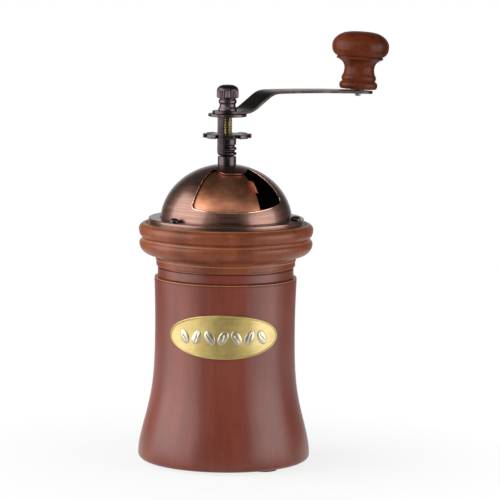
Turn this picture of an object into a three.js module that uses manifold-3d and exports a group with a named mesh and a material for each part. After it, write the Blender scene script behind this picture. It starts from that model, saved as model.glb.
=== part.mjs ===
// An upright hand mill for coffee: wooden body and head, domed hopper cover with a sliding hatch,
// conical burrs, a notched nut that sets the grind, and a crank with a turned knob.
// Millimetres, +Z up. The origin is on the spindle's axis, at the level that the feet stand on.
// Bearings are angles about +Z, counted from the front (-Y) towards the right (+X).
import * as THREE from "three";
import { mergeVertices } from "three/addons/utils/BufferGeometryUtils.js";
import Module from "manifold-3d";

const wasm = await Module();
wasm.setup();

// Fits
const SEAT_GAP = 0.3; // between a piece and the one that it is fitted or screwed to
const BEARING_PLAY = 0.1; // round a shaft that turns
const SLIDE_PLAY = 0.35; // between the hatch and the dome

// Wooden body
const BODY_HEIGHT = 90;
const BASE_RADIUS = 42.2;
const BASE_EASING = 2.6;
const WAIST_RADIUS = 34.3;
const WAIST_HEIGHT = 62;
const FLARE_LENGTH = 24.7;
const FLARE_POWER = 1.85;
const SHOULDER_FLARE = 0.65;
const RIM_BEAD = 0.55;
const RIM_BEAD_HEIGHT = 3;
const SOCKET_CHAMFER = 0.4;
const CUP_RADIUS = 28;
const CUP_FLOOR = 12;
const CUP_CHAMFER = 3;
const SOCKET_RADIUS = 30.3;
const SOCKET_DEPTH = 14;

// Feet
const FOOT_RADIUS = 7.2;
const FOOT_HEIGHT = 1.4;
const FOOT_INSET = 12.2; // of the feet's centres from the body's edge
const FOOT_BEARINGS = [40, 160, 280];

// Badge
const BADGE_LENGTH = 57.5;
const BADGE_HEIGHT = 21.6;
const BADGE_THICKNESS = 1;
const BADGE_CENTRE = 65;
const BADGE_BORDER = 0.7;
const BADGE_STEP = 0.3;
const BADGE_BEARING = -1;

// Neck ring
const NECK_HEIGHT = 5.5;
const NECK_RADIUS = 33.3;
const NECK_EASING = 0.8;
const NECK_BORE = 26.5;
const SPIGOT_LENGTH = 12;
const SPIGOT_CHAMFER = 0.6;

// Head ring
const HEAD_HEIGHT = 21.1; // to the top of the beads
const SKIRT_RADIUS = 34.05;
const SKIRT_HEIGHT = 3.8;
const SKIRT_CHAMFER = 0.6;
const COVE_STEP = 0.75;
const LOWER_BEAD_RADIUS = 42.4;
const LOWER_BEAD_HEIGHT = 11.2;
const GROOVE_RADIUS = 40.7;
const GROOVE_HEIGHT = 13.9;
const UPPER_BEAD_RADIUS = 42.7;
const UPPER_BEAD_HEIGHT = 18.2;
const BEAD_SHOULDER = 1.8;
const BEAD_QUIRK = 0.4;
const RIM_ROUND = 3.5;
const RIM_CHAMFER = 0.4;
const THROAT_RADIUS = 18.5;
const THROAT_HEIGHT = 5.7;
const LAND_RADIUS = 36.6;
const LAND_RISE = 1.5; // of the flange's seat above the beads
const LIP_GROOVE_DEPTH = 2.5;

// Hopper funnel
const FUNNEL_SHEET = 0.8;
const FUNNEL_RIM_WIDTH = 2;
const FUNNEL_RIM_RADIUS = 33;
const FUNNEL_BEND = 0.9;
const FUNNEL_AIR = 0.45; // between the sheet and the wood behind it
const SPOUT_STEP = 1;
const SPOUT_LENGTH = 4.7;

// Dome cover, its window and its screws
const DOME_RADIUS = 32.3;
const DOME_RISE = 28.4;
const DOME_SHEET = 0.9;
const DOME_FLAT_RADIUS = 6;
const DOME_FILLET = 0.3;
const DOME_DROP = 1.1; // of the ellipse's centre below the land
const DOME_STRAIGHT = 0.15; // how far the side stands upright before it curves
const DOME_HOLE_RADIUS = 3.8;
const FLANGE_THICKNESS = 1;
const FLANGE_RADIUS = 37.7;
const FLANGE_EASING = 0.6;
const LIP_RADIUS = 38.5;
const LIP_DEPTH = 2.2;
const WINDOW_BEARINGS = [-30, 62.5];
const WINDOW_SILL = 7.9; // above the ellipse's centre, at the radius below
const WINDOW_SILL_RADIUS = 31;
const WINDOW_SILL_SLOPE = 0.238;
const WINDOW_SILL_BEARING = 6; // where the sill is lowest
const WINDOW_HEIGHT = 16.9;
const EDGE_OFFSET = 1.5; // how far each upright edge stands off the axis
const FLANGE_SCREW_CIRCLE = 35.1;
const FLANGE_SCREW_BEARINGS = [-45, 75, 195];
const SCREW_HEAD_RADIUS = 2.35;
const SCREW_HEAD_HEIGHT = 2.2;
const SCREW_RADIUS = 1.2;
const SCREW_POINT = 1.5;
const FLANGE_SCREW_LENGTH = 9;

// Hatch
const HATCH_SHEET = 0.8;
const HATCH_BEARINGS = [-62, 31];
const HATCH_EYE_RADIUS = 8;
const HATCH_FOOT = 2; // above the ellipse's centre
const TAB_THICKNESS = 0.8;
const TAB_BOTTOM = 8.8; // above the window's sill
const TAB_HEIGHT = 5.2;
const TAB_REACH = 1.3;

// Bushing on the dome
const BUSHING_HEIGHT = 4.4;
const BUSHING_RADIUS = 4.5;
const BUSHING_BARREL_RADIUS = 3.45;
const BUSHING_CHAMFER = 0.4;
const BUSHING_NUT_HEIGHT = 2.8;
const BUSHING_NUT_FLATS = 9;

// Spindle
const SHAFT_RADIUS = 3;
const THREAD_RADIUS = 2.5;
const SHAFT_CHAMFER = 0.5;
const SHOULDER_GAP = 1.7; // below the bushing
const SHAFT_TAIL = 6.5; // below the cone
const TOP_FLAT = 1.9; // half the width across the flats at the crank
const BURR_FLAT = 2.4;
const THREAD_END_GAP = 1.9;

// Adjusting nut
const NUT_HUB_HEIGHT = 8.7;
const NUT_HUB_RADIUS = 4.4;
const NUT_RING_RADIUS = 4.7;
const NUT_GROOVE_RADIUS = 3.75;
const NUT_RING_FOOT = 1;
const NUT_RING_PITCH = 2.4;
const NUT_RING_HALF = 0.9;
const NUT_COLLAR_FOOT = 5.6;
const NUT_COLLAR_CHAMFER = 0.8;
const DISC_RADIUS = 11.9;
const DISC_THICKNESS = 2;
const NOTCH_COUNT = 8;
const NOTCH_BEARING = -20;
const LOCK_TAB_WIDTH = 3.1;
const LOCK_TAB_THICKNESS = 1.5;
const LOCK_TAB_DROP = 7.5; // below the disc
const LOCK_TAB_STEP = 0.1; // past the plate's edge
const LOCK_TAB_CHAMFER = 1;

// Lock plate
const PLATE_RISE = 8.4;
const PLATE_THICKNESS = 1.4;
const PLATE_RADIUS = 9.4;

// Crank arm
const ARM_THICKNESS = 1.4;
const ARM_WIDTH = 14.8;
const ARM_BEARING = 124;
const ARM_REACH = 78.3;
const ARM_FIRST_BEND = 9.5;
const ARM_RISE = 9.2;
const ARM_SLOPE = 35;
const ARM_DROOP = 3.2; // of the bowed outer part, at the knob
const BEND_LENGTH = 3.5;

// Cap nut
const CAP_NUT_HEIGHT = 12.7;
const CAP_HEAD_RADIUS = 5.35;
const CAP_HEAD_HEIGHT = 6.6;
const CAP_FLARE_RADIUS = 4.6;
const CAP_NECK_RADIUS = 3.9;
const CAP_RING_RADIUS = 4.4;
const CAP_FLARE_HEIGHT = 0.7;
const CAP_NECK_FOOT = 2;
const CAP_RING_FOOT = 3.5;
const CAP_RING_CHAMFER = 0.6;
const CAP_RING_WIDTH = 0.9;
const CAP_HEAD_CHAMFER = 0.5;
const CAP_KNURL_LENGTH = 3.3;
const CAP_CROWN_SHOULDER = 1.4;
const CAP_CROWN_EASING = 0.75;
const CAP_CROWN_RADIUS = 2.7;
const CAP_FLUTES = 12;
const CAP_FLUTE_DEPTH = 0.35;
const CAP_WALL = 1.6;

// Knob and its pin: radii and heights above the crank
const KNOB_HEIGHT = 29.6;
const KNOB_RADIUS = 14.3;
const KNOB_WIDEST = 21.9;
const KNOB_UNDERSIDE = 4; // radius of the cap's round below its widest
const KNOB_LIP_RADIUS = 11.7;
const KNOB_LIP_HEIGHT = 15.9;
const KNOB_LIP_EDGE = 0.3;
const KNOB_LIP_QUIRK = 0.9;
const KNOB_THROAT_RADIUS = 9.8;
const KNOB_THROAT_HEIGHT = 15;
const KNOB_FLARE_RADIUS = 8.1;
const KNOB_FLARE_HEIGHT = 13.2;
const KNOB_WAIST_RADIUS = 7.5;
const KNOB_WAIST_HEIGHT = 10.7;
const KNOB_RING_RADIUS = 8.7;
const KNOB_RING_HEIGHT = 6;
const KNOB_GROOVE_RADIUS = 8.2;
const KNOB_GROOVE_HEIGHT = 4.8;
const KNOB_COLLAR_RADIUS = 9.6;
const KNOB_COLLAR_HEIGHT = 2.5;
const KNOB_COLLAR_ROUND = 1.2;
const KNOB_COLLAR_HALF = 1.9;
const KNOB_COLLAR_CHAMFER = 0.9;
const PIN_RADIUS = 2.2;
const PIN_TIP_RADIUS = 1.45;
const PIN_TIP_LENGTH = 1.3;
const PIN_SHOULDER_RADIUS = 3.4;
const PIN_HEAD_RADIUS = 3;
const PIN_LENGTH = 16;
const PIN_HEAD_HEIGHT = 1.6;
const PIN_HEAD_ROOM = 2;
const KNOB_BUSH_WALL = 1;
const KNOB_BUSH_LENGTH = 9;

// Burr carrier
const CARRIER_FLANGE_THICKNESS = 3;
const CARRIER_FLANGE_RADIUS = 26;
const BARREL_RADIUS = 20.5;
const BARREL_LENGTH = 19.5;
const LEDGE_THICKNESS = 4.2;
const LEDGE_RADIUS = 16.5;
const HUB_RADIUS = 6.3;
const HUB_HEIGHT = 4.7;
const SPIDER_ARM_WIDTH = 4;
const SPIDER_BEARINGS = [90, 210, 330];
const CARRIER_SCREW_CIRCLE = 23.2;
const CARRIER_SCREW_BEARINGS = [30, 150, 270];
const CARRIER_SCREW_HEAD_RADIUS = 2.1;
const CARRIER_SCREW_LENGTH = 10;
const BUSH_RADIUS = 4;
const BUSH_FLANGE_RADIUS = 5.4;
const BUSH_FLANGE_THICKNESS = 0.8;

// Burrs
const OUTER_BURR_RADIUS = 17.5;
const OUTER_BURR_HEIGHT = 14;
const BURR_MOUTH_RADIUS = 12.6;
const BURR_MOUTH_CHAMFER = 1.2;
const BURR_BAND_RADIUS = 14.7; // of the fixed ring, at its foot
const BURR_BAND_SLOPE = 0.2;
const BURR_BAND_HEIGHT = 4;
const GRIND_GAP = 0.45;
const CONE_DROP = 2; // how far the cone stands out below the ring
const CONE_HEIGHT = 13.5;
const CONE_TOP_RADIUS = 7.6;
const CONE_CHAMFER = 1;
const CONE_STEP = 0.4; // where the fine teeth end
const CONE_STEP_HEIGHT = 0.6;
const CONE_SWELL = 0.6;
const CONE_KEY_DEPTH = 0.5;
const BURR_TEETH = 16;
const TOOTH_SAMPLES = 3;
const TOOTH_DEPTH = 0.6;
const TOOTH_TWIST = 3.2; // degrees for each millimetre of height
const FEED_FLUTES = 6;
const FEED_FLUTE_DEPTH = 2.2;
const FEED_FLUTE_SHARE = 0.25; // of that depth, at the cone's top
const SPRING_POCKET_DEPTH = 5;
const SPRING_POCKET_RADIUS = 5.6;
const BURR_NUT_HEIGHT = 4;
const BURR_NUT_FLATS = 8;

// Spring and its washer
const WASHER_THICKNESS = 0.6;
const WASHER_RADIUS = 5.5;
const SPRING_RADIUS = 4.4;
const SPRING_WIRE_RADIUS = 0.45;
const SPRING_TURNS = 4;
const SPRING_STEPS = 8;

// Cutters
const CUT = 1; // how far a cutter stands out past what it cuts
const HAIR = 0.1; // less than any step between two rings of a profile

// Facets
const BODY_STEPS = 8;
const BODY_CROWDING = 1.4; // draws the steps towards the foot
const WOOD_SIDES = 30;
const BADGE_SIDES = 48;
const BADGE_OUTLINE_SIDES = 28;
const SMALL_SIDES = 16;
const SCREW_SIDES = 8;
const DOME_STEPS = 7;
const DISC_SIDES = 24;
const KNOB_SIDES = 20;

// Heights that follow from the sizes above, counted from the body's underside
const headFoot = BODY_HEIGHT + NECK_HEIGHT;
const headTop = headFoot + HEAD_HEIGHT;
const landHeight = headTop + LAND_RISE;
const flangeTop = landHeight + FLANGE_THICKNESS;
const domeCentre = landHeight - DOME_DROP;
const domeTop = ellipseHeight(DOME_RADIUS, DOME_RISE, DOME_FLAT_RADIUS);
const bushingTop = domeTop + BUSHING_HEIGHT;
const bushingNutTop = domeTop - DOME_SHEET - SLIDE_PLAY * 2 - HATCH_SHEET;
const bushingFoot = bushingNutTop - BUSHING_NUT_HEIGHT;
const sillHeight = domeCentre + WINDOW_SILL;
const windowHead = sillHeight + WINDOW_HEIGHT;
const hatchFoot = domeCentre + HATCH_FOOT;
const nutFoot = bushingTop + SEAT_GAP;
const discFoot = nutFoot + NUT_HUB_HEIGHT;
const discTop = discFoot + DISC_THICKNESS;
const plateFoot = discTop + PLATE_RISE;
const armFoot = plateFoot + PLATE_THICKNESS;
const armTop = armFoot + ARM_THICKNESS;
const capTop = armTop + CAP_NUT_HEIGHT;
const hubFoot = headFoot - HUB_HEIGHT;
const ledgeHeight = headFoot - LEDGE_THICKNESS;
const outerBurrTop = ledgeHeight - SEAT_GAP;
const outerBurrFoot = outerBurrTop - OUTER_BURR_HEIGHT;
const coneFoot = outerBurrFoot - CONE_DROP;
const coneTop = coneFoot + CONE_HEIGHT;
const pocketFloor = coneTop - SPRING_POCKET_DEPTH;
const washerFoot = hubFoot - WASHER_THICKNESS;

// Radii that follow
const footCircle = BASE_RADIUS - FOOT_INSET;
const spigotRadius = SOCKET_RADIUS - SEAT_GAP;
const screwHole = SCREW_RADIUS + SEAT_GAP;
const threadHole = THREAD_RADIUS + SEAT_GAP;
const pinBore = PIN_RADIUS + BEARING_PLAY;
const knobBushRadius = pinBore + KNOB_BUSH_WALL;
const knobBore = knobBushRadius + SEAT_GAP;
const reach = 2 * UPPER_BEAD_RADIUS; // of a cutter that ends outside the mill

// Materials
const finish = (color, roughness, metalness) => ({ color, roughness, metalness, flatShading: true });
const MATERIALS = {
  darkWood: finish("#7b4233", 0.5, 0),
  headWood: finish("#a1603f", 0.5, 0),
  knobWood: finish("#5d2817", 0.3, 0),
  rubber: finish("#1d1b1a", 0.9, 0),
  copper: finish("#6d4234", 0.35, 1),
  hatchCopper: finish("#b06a44", 0.4, 1),
  gunmetal: finish("#3d3436", 0.4, 1),
  brass: finish("#b9a056", 0.4, 1),
  steel: finish("#8d8f92", 0.4, 1),
  castIron: finish("#4b4c4e", 0.7, 0.8),
  tinplate: finish("#a9abab", 0.4, 1),
};

const radians = THREE.MathUtils.degToRad;

// Height of the dome's ellipse over a radius, for the sheet's outside or a surface inside it.
function ellipseHeight(radius, rise, over) {
  return domeCentre + rise * Math.sqrt(1 - (over / radius) ** 2);
}

// Points on an ellipse about (r, z), between two angles in degrees from the +r direction.
function arc(r, z, radiusR, radiusZ, from, to, steps) {
  return Array.from({ length: steps + 1 }, (_, i) => {
    const angle = radians(from + ((to - from) * i) / steps);
    return [r + radiusR * Math.cos(angle), z + radiusZ * Math.sin(angle)];
  });
}

// A geometry with its corners merged and its empty triangles left out, as a solid.
function solidOf(geometry) {
  const bare = new THREE.BufferGeometry().setAttribute("position", geometry.getAttribute("position"));
  bare.setIndex(geometry.index);
  const merged = mergeVertices(bare, 1e-4);
  const corners = merged.index.array;
  const kept = [];
  for (let i = 0; i < corners.length; i += 3) {
    const [a, b, c] = corners.slice(i, i + 3);
    if (a !== b && b !== c && c !== a) kept.push(a, b, c);
  }
  const mesh = new wasm.Mesh({
    numProp: 3,
    vertProperties: merged.attributes.position.array,
    triVerts: new Uint32Array(kept),
  });
  return new wasm.Manifold(mesh);
}

function geometryOf(solid) {
  const mesh = solid.getMesh();
  const geometry = new THREE.BufferGeometry();
  geometry.setAttribute("position", new THREE.BufferAttribute(mesh.vertProperties, 3));
  return geometry.setIndex(new THREE.BufferAttribute(mesh.triVerts, 1));
}

// A profile of [radius, height] points, turned about the Z axis from the front.
function lathe(profile, sides) {
  const points = profile.map(([r, z]) => new THREE.Vector2(r, z));
  if (THREE.ShapeUtils.area(points) < 0) points.reverse();
  points.push(points[0].clone());
  return new THREE.LatheGeometry(points, sides).rotateX(Math.PI / 2);
}

const turned = (profile, sides) => solidOf(lathe(profile, sides));

// The corner radius of a hole whose flats stand off the axis by the radius given.
const holeCorner = (radius, sides) => radius / Math.cos(Math.PI / sides);

// An upright prism over an outline of [x, y] points.
function prism(outline, foot, top) {
  const shape = new THREE.Shape(outline.map(([x, y]) => new THREE.Vector2(x, y)));
  const settings = { depth: top - foot, bevelEnabled: false };
  return solidOf(new THREE.ExtrudeGeometry(shape, settings).translate(0, 0, foot));
}

function circle(radius, sides, first = 0) {
  return Array.from({ length: sides }, (_, i) => {
    const angle = radians(first) + (2 * Math.PI * i) / sides;
    return [radius * Math.cos(angle), radius * Math.sin(angle)];
  });
}

const drill = (radius, foot, top, sides = SMALL_SIDES) =>
  prism(circle(holeCorner(radius, sides), sides), foot, top);

// A round bar with two flats, which face +X and -X.
function doubleD(radius, flat, foot, top) {
  const edge = (Math.acos(flat / radius) * 180) / Math.PI;
  const side = (from) => arc(0, 0, radius, radius, from + edge, from + 180 - edge, 6);
  return prism([...side(0), ...side(180)], foot, top);
}

const hexagon = (flats, foot, top) => prism(circle(flats / Math.sqrt(3), 6), foot, top);

// The same solid at each bearing, moved out from the axis, joined into one.
const turnTo = (solid, bearing) => solid.rotate([0, 0, bearing]);
const atBearings = (solid, bearings) =>
  bearings.map((bearing) => turnTo(solid, bearing)).reduce((all, next) => all.add(next));

// Directions of a bearing: out from the axis, and square to that towards larger bearings.
const outward = (bearing) => [Math.sin(radians(bearing)), -Math.cos(radians(bearing))];
const sideward = (bearing) => [Math.cos(radians(bearing)), Math.sin(radians(bearing))];
const along = (bearing, out, side) =>
  [0, 1].map((axis) => outward(bearing)[axis] * out + sideward(bearing)[axis] * side);

// An upright wedge between two bearings, whose edges stand off the axis by EDGE_OFFSET.
function fan([left, right], foot, top) {
  const between = [0.25, 0.5, 0.75].map((share) => along(left + (right - left) * share, reach, 0));
  const outline = [
    along(left, 0, -EDGE_OFFSET),
    along(left, reach, -EDGE_OFFSET),
    ...between,
    along(right, reach, EDGE_OFFSET),
    along(right, 0, EDGE_OFFSET),
  ];
  return prism(outline, foot, top);
}

// Radius of the body's outside: a bell-shaped foot, a straight waist and a slight flare above it.
function bodyRadius(height) {
  const bell = Math.exp(-((Math.max(height - BASE_EASING, 0) / FLARE_LENGTH) ** FLARE_POWER));
  const rise = Math.max(height - WAIST_HEIGHT, 0) / (BODY_HEIGHT - WAIST_HEIGHT);
  return WAIST_RADIUS + (BASE_RADIUS - WAIST_RADIUS) * bell + SHOULDER_FLARE * rise ** 2;
}

function bodyShell() {
  const beadFoot = BODY_HEIGHT - RIM_BEAD_HEIGHT;
  const beadSide = bodyRadius(beadFoot);
  const half = RIM_BEAD_HEIGHT / 2;
  const cupEdge = CUP_RADIUS - CUP_CHAMFER;
  const level = (i) => BASE_EASING + (beadFoot - BASE_EASING) * (i / BODY_STEPS) ** BODY_CROWDING;
  const levels = Array.from({ length: BODY_STEPS }, (_, i) => level(i + 1));
  return turned(
    [
      [0, 0],
      ...arc(BASE_RADIUS - BASE_EASING, BASE_EASING, BASE_EASING, BASE_EASING, -90, 0, 3),
      ...levels.map((height) => [bodyRadius(height), height]),
      ...arc(beadSide - RIM_BEAD, BODY_HEIGHT - half, 2 * RIM_BEAD, half, -40, 90, 2),
      [SOCKET_RADIUS + SOCKET_CHAMFER, BODY_HEIGHT],
      [SOCKET_RADIUS, BODY_HEIGHT - SOCKET_CHAMFER],
      [SOCKET_RADIUS, BODY_HEIGHT - SOCKET_DEPTH],
      [CUP_RADIUS, BODY_HEIGHT - SOCKET_DEPTH],
      ...arc(cupEdge, CUP_FLOOR + CUP_CHAMFER, CUP_CHAMFER, CUP_CHAMFER, 0, -90, 1),
      [0, CUP_FLOOR],
    ],
    WOOD_SIDES,
  );
}

function foot() {
  return prism(circle(FOOT_RADIUS, SMALL_SIDES), -FOOT_HEIGHT, 0);
}

// One layer of the badge: a band round the body, cut to an oval that is laid round it.
function badgeLayer(inner, outer, margin) {
  const half = BADGE_HEIGHT / 2 - margin;
  const radius = (inner + outer) / 2;
  const outline = circle(1, BADGE_OUTLINE_SIDES).map(([x, y]) => [
    radius * Math.sin(((BADGE_LENGTH / 2 - margin) * x) / radius),
    half * y,
  ]);
  const oval = prism(outline, 0, 2 * outer).rotate([90, 0, 0]).translate([0, 0, BADGE_CENTRE]);
  const band = turned(
    [
      [inner, BADGE_CENTRE - half - CUT],
      [outer, BADGE_CENTRE - half - CUT],
      [outer, BADGE_CENTRE + half + CUT],
      [inner, BADGE_CENTRE + half + CUT],
    ],
    BADGE_SIDES,
  );
  return band.intersect(oval);
}

// A plate with a border that stands up round a flat field.
function badge() {
  const ends = [-1, 1].map((way) => bodyRadius(BADGE_CENTRE + (way * BADGE_HEIGHT) / 2));
  const inner = Math.max(...ends) + SEAT_GAP / 2;
  const plate = badgeLayer(inner, inner + BADGE_THICKNESS, 0);
  const face = inner + BADGE_THICKNESS;
  return plate.subtract(badgeLayer(face - BADGE_STEP, face + CUT, BADGE_BORDER));
}

function neckRing() {
  const foot = BODY_HEIGHT;
  const edge = NECK_RADIUS - NECK_EASING;
  return turned(
    [
      [NECK_BORE, foot - SPIGOT_LENGTH],
      [spigotRadius - SPIGOT_CHAMFER, foot - SPIGOT_LENGTH],
      [spigotRadius, foot - SPIGOT_LENGTH + SPIGOT_CHAMFER],
      [spigotRadius, foot],
      ...arc(edge, foot + NECK_EASING, NECK_EASING, NECK_EASING, -90, 0, 1),
      ...arc(edge, headFoot - NECK_EASING, NECK_EASING, NECK_EASING, 0, 90, 1),
      [NECK_BORE, headFoot],
    ],
    WOOD_SIDES,
  );
}

// The cone that the funnel lies in: its radius at the land and its slope.
const coneMouth = FUNNEL_RIM_RADIUS - FUNNEL_RIM_WIDTH + FUNNEL_BEND;
const recessFloor = landHeight - FUNNEL_SHEET;
const throatTop = headFoot + THROAT_HEIGHT;
const coneSlope = (coneMouth - THROAT_RADIUS) / (recessFloor - throatTop);

function headRing() {
  const beadFoot = headFoot + SKIRT_HEIGHT;
  const lowerBead = headFoot + LOWER_BEAD_HEIGHT;
  const upperBead = headFoot + UPPER_BEAD_HEIGHT;
  const groove = headFoot + GROOVE_HEIGHT;
  const undercut = LOWER_BEAD_RADIUS - SKIRT_RADIUS - COVE_STEP;
  const quirk = upperBead - groove - BEAD_QUIRK;
  const lipGroove = LIP_RADIUS + SEAT_GAP;
  const ring = turned(
    [
      [THROAT_RADIUS, headFoot],
      [SKIRT_RADIUS - SKIRT_CHAMFER, headFoot],
      [SKIRT_RADIUS, headFoot + 2 * SKIRT_CHAMFER],
      ...arc(LOWER_BEAD_RADIUS - undercut, lowerBead, undercut, lowerBead - beadFoot, -90, 0, 4),
      ...arc(GROOVE_RADIUS, lowerBead, LOWER_BEAD_RADIUS - GROOVE_RADIUS, BEAD_SHOULDER, 30, 90, 2),
      [GROOVE_RADIUS, groove],
      ...arc(GROOVE_RADIUS, upperBead, UPPER_BEAD_RADIUS - GROOVE_RADIUS, quirk, -75, 0, 2),
      ...arc(UPPER_BEAD_RADIUS - RIM_ROUND, upperBead, RIM_ROUND, headTop - upperBead, 25, 90, 2),
      [lipGroove, headTop - RIM_CHAMFER],
      [lipGroove, landHeight - LIP_GROOVE_DEPTH],
      [LAND_RADIUS, landHeight - LIP_GROOVE_DEPTH],
      [LAND_RADIUS, landHeight],
      [FUNNEL_RIM_RADIUS + SEAT_GAP, landHeight],
      [FUNNEL_RIM_RADIUS + SEAT_GAP, recessFloor],
      [coneMouth, recessFloor],
      [THROAT_RADIUS, throatTop],
    ],
    WOOD_SIDES,
  );
  const flangeHole = drill(screwHole, landHeight - FLANGE_SCREW_LENGTH, landHeight + CUT, SCREW_SIDES);
  const carrierHole = drill(screwHole, headFoot - CUT, carrierScrewTop + SEAT_GAP, SCREW_SIDES);
  return ring
    .subtract(atBearings(flangeHole.translate([0, -FLANGE_SCREW_CIRCLE, 0]), FLANGE_SCREW_BEARINGS))
    .subtract(atBearings(carrierHole.translate([0, -CARRIER_SCREW_CIRCLE, 0]), CARRIER_SCREW_BEARINGS));
}

function hopperFunnel() {
  const sheetAcross = FUNNEL_SHEET * Math.hypot(1, coneSlope);
  const spout = THROAT_RADIUS - SPOUT_STEP;
  const coneAt = (height) => THROAT_RADIUS - FUNNEL_AIR + coneSlope * (height - throatTop);
  const bend = throatTop + (spout - THROAT_RADIUS + FUNNEL_AIR) / coneSlope;
  return turned(
    [
      [spout, throatTop - SPOUT_LENGTH],
      [spout, bend],
      [coneAt(recessFloor), recessFloor],
      [FUNNEL_RIM_RADIUS, recessFloor],
      [FUNNEL_RIM_RADIUS, landHeight],
      [coneAt(landHeight) - sheetAcross, landHeight],
      [spout - FUNNEL_SHEET, bend + (sheetAcross - FUNNEL_SHEET) / coneSlope],
      [spout - FUNNEL_SHEET, throatTop - SPOUT_LENGTH],
    ],
    WOOD_SIDES,
  );
}

// Points on the dome's ellipse, drawn in by a distance, from one radius to another.
function domeLine(inset, from, to, steps) {
  const radius = DOME_RADIUS - inset;
  const angle = (over) => (Math.acos(over / radius) * 180) / Math.PI;
  return arc(0, domeCentre, radius, DOME_RISE - inset, angle(from), angle(to), steps);
}

// The opening as it is punched: two upright edges, a flat head and a sill that drops towards the front.
function windowPunch() {
  const sillAt = (out) => sillHeight + WINDOW_SILL_SLOPE * (WINDOW_SILL_RADIUS - out);
  const side = [
    [0, sillAt(0)],
    [reach, sillAt(reach)],
    [reach, windowHead],
    [0, windowHead],
  ];
  const slab = turnTo(prism(side, -reach, reach).rotate([90, 0, 0]), WINDOW_SILL_BEARING - 90);
  return slab.intersect(fan(WINDOW_BEARINGS, sillAt(reach), windowHead));
}

function domeCover() {
  const inner = DOME_RADIUS - DOME_SHEET;
  const shell = turned(
    [
      [LIP_RADIUS, flangeTop - FLANGE_THICKNESS - LIP_DEPTH],
      [FLANGE_RADIUS, flangeTop - FLANGE_EASING],
      [FLANGE_RADIUS - FLANGE_EASING, flangeTop],
      [DOME_RADIUS + DOME_FILLET, flangeTop],
      ...domeLine(0, DOME_RADIUS - DOME_STRAIGHT, DOME_FLAT_RADIUS, DOME_STEPS),
      [DOME_HOLE_RADIUS, domeTop],
      [DOME_HOLE_RADIUS, domeTop - DOME_SHEET],
      ...domeLine(DOME_SHEET, DOME_FLAT_RADIUS, inner - DOME_STRAIGHT / 2, DOME_STEPS),
      [inner, landHeight],
      [LAND_RADIUS + SEAT_GAP, landHeight],
      [LIP_RADIUS - DOME_SHEET, flangeTop - FLANGE_THICKNESS - LIP_DEPTH],
    ],
    WOOD_SIDES,
  );
  const hole = drill(screwHole, landHeight - CUT, flangeTop + CUT, SCREW_SIDES);
  return shell
    .subtract(windowPunch())
    .subtract(atBearings(hole.translate([0, -FLANGE_SCREW_CIRCLE, 0]), FLANGE_SCREW_BEARINGS));
}

// A segment of a smaller dome with an eye round the bushing, and a tab bent out through the window.
function hatch() {
  const inset = DOME_SHEET + SLIDE_PLAY;
  const crown = domeTop - inset;
  const eye = BUSHING_BARREL_RADIUS + SLIDE_PLAY;
  const footRadius = (drawnIn) =>
    (DOME_RADIUS - drawnIn) * Math.sqrt(1 - (HATCH_FOOT / (DOME_RISE - drawnIn)) ** 2);
  const shell = turned(
    [
      ...domeLine(inset, footRadius(inset), DOME_FLAT_RADIUS, DOME_STEPS),
      [holeCorner(eye, WOOD_SIDES), crown],
      [holeCorner(eye, WOOD_SIDES), crown - HATCH_SHEET],
      ...domeLine(inset + HATCH_SHEET, DOME_FLAT_RADIUS, footRadius(inset + HATCH_SHEET), DOME_STEPS),
    ],
    WOOD_SIDES,
  );
  const leaf = fan(HATCH_BEARINGS, hatchFoot - CUT, domeTop);
  const eyeDisc = prism(circle(HATCH_EYE_RADIUS, SMALL_SIDES), hatchFoot - CUT, domeTop);
  const bearing = HATCH_BEARINGS[1];
  const edge = [
    along(bearing, HATCH_EYE_RADIUS, EDGE_OFFSET - TAB_THICKNESS),
    along(bearing, reach, EDGE_OFFSET - TAB_THICKNESS),
    along(bearing, reach, EDGE_OFFSET),
    along(bearing, HATCH_EYE_RADIUS, EDGE_OFFSET),
  ];
  const middle = inset + HATCH_SHEET / 2;
  const tabBand = turned(
    [
      ...domeLine(middle, footRadius(middle), DOME_FLAT_RADIUS, DOME_STEPS),
      ...domeLine(-TAB_REACH, DOME_FLAT_RADIUS, footRadius(-TAB_REACH), DOME_STEPS),
    ],
    WOOD_SIDES,
  );
  const tabFoot = sillHeight + TAB_BOTTOM;
  const tab = tabBand.intersect(prism(edge, tabFoot, tabFoot + TAB_HEIGHT));
  return shell.intersect(leaf.add(eyeDisc)).add(tab);
}

// A pan-head screw whose head rests at a height, with its shank below it.
function screw(headRadius, headHeight, length) {
  const edge = headHeight * 0.45;
  return turned(
    [
      [0, -length],
      [SCREW_RADIUS * 0.4, -length],
      [SCREW_RADIUS, SCREW_POINT - length],
      [SCREW_RADIUS, 0],
      [headRadius, 0],
      [headRadius, edge],
      [headRadius * 0.85, headHeight * 0.8],
      [headRadius * 0.45, headHeight],
      [0, headHeight],
    ],
    SCREW_SIDES,
  );
}

const carrierScrewSeat = headFoot - CARRIER_FLANGE_THICKNESS;
const carrierScrewTop = carrierScrewSeat + CARRIER_SCREW_LENGTH;

// Its collar stands on the dome, and its barrel goes down through the dome and the hatch's eye.
function shaftBushing() {
  const bore = holeCorner(THREAD_RADIUS + BEARING_PLAY, SMALL_SIDES);
  return turned(
    [
      [bore, bushingFoot],
      [BUSHING_BARREL_RADIUS, bushingFoot],
      [BUSHING_BARREL_RADIUS, domeTop],
      [BUSHING_RADIUS, domeTop],
      [BUSHING_RADIUS, bushingTop - BUSHING_CHAMFER],
      [BUSHING_RADIUS - BUSHING_CHAMFER, bushingTop],
      [bore, bushingTop],
    ],
    SMALL_SIDES,
  );
}

function bushingNut() {
  const nut = hexagon(BUSHING_NUT_FLATS, bushingFoot, bushingNutTop);
  return nut.subtract(drill(BUSHING_BARREL_RADIUS + SEAT_GAP, bushingFoot - CUT, bushingNutTop + CUT));
}

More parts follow.
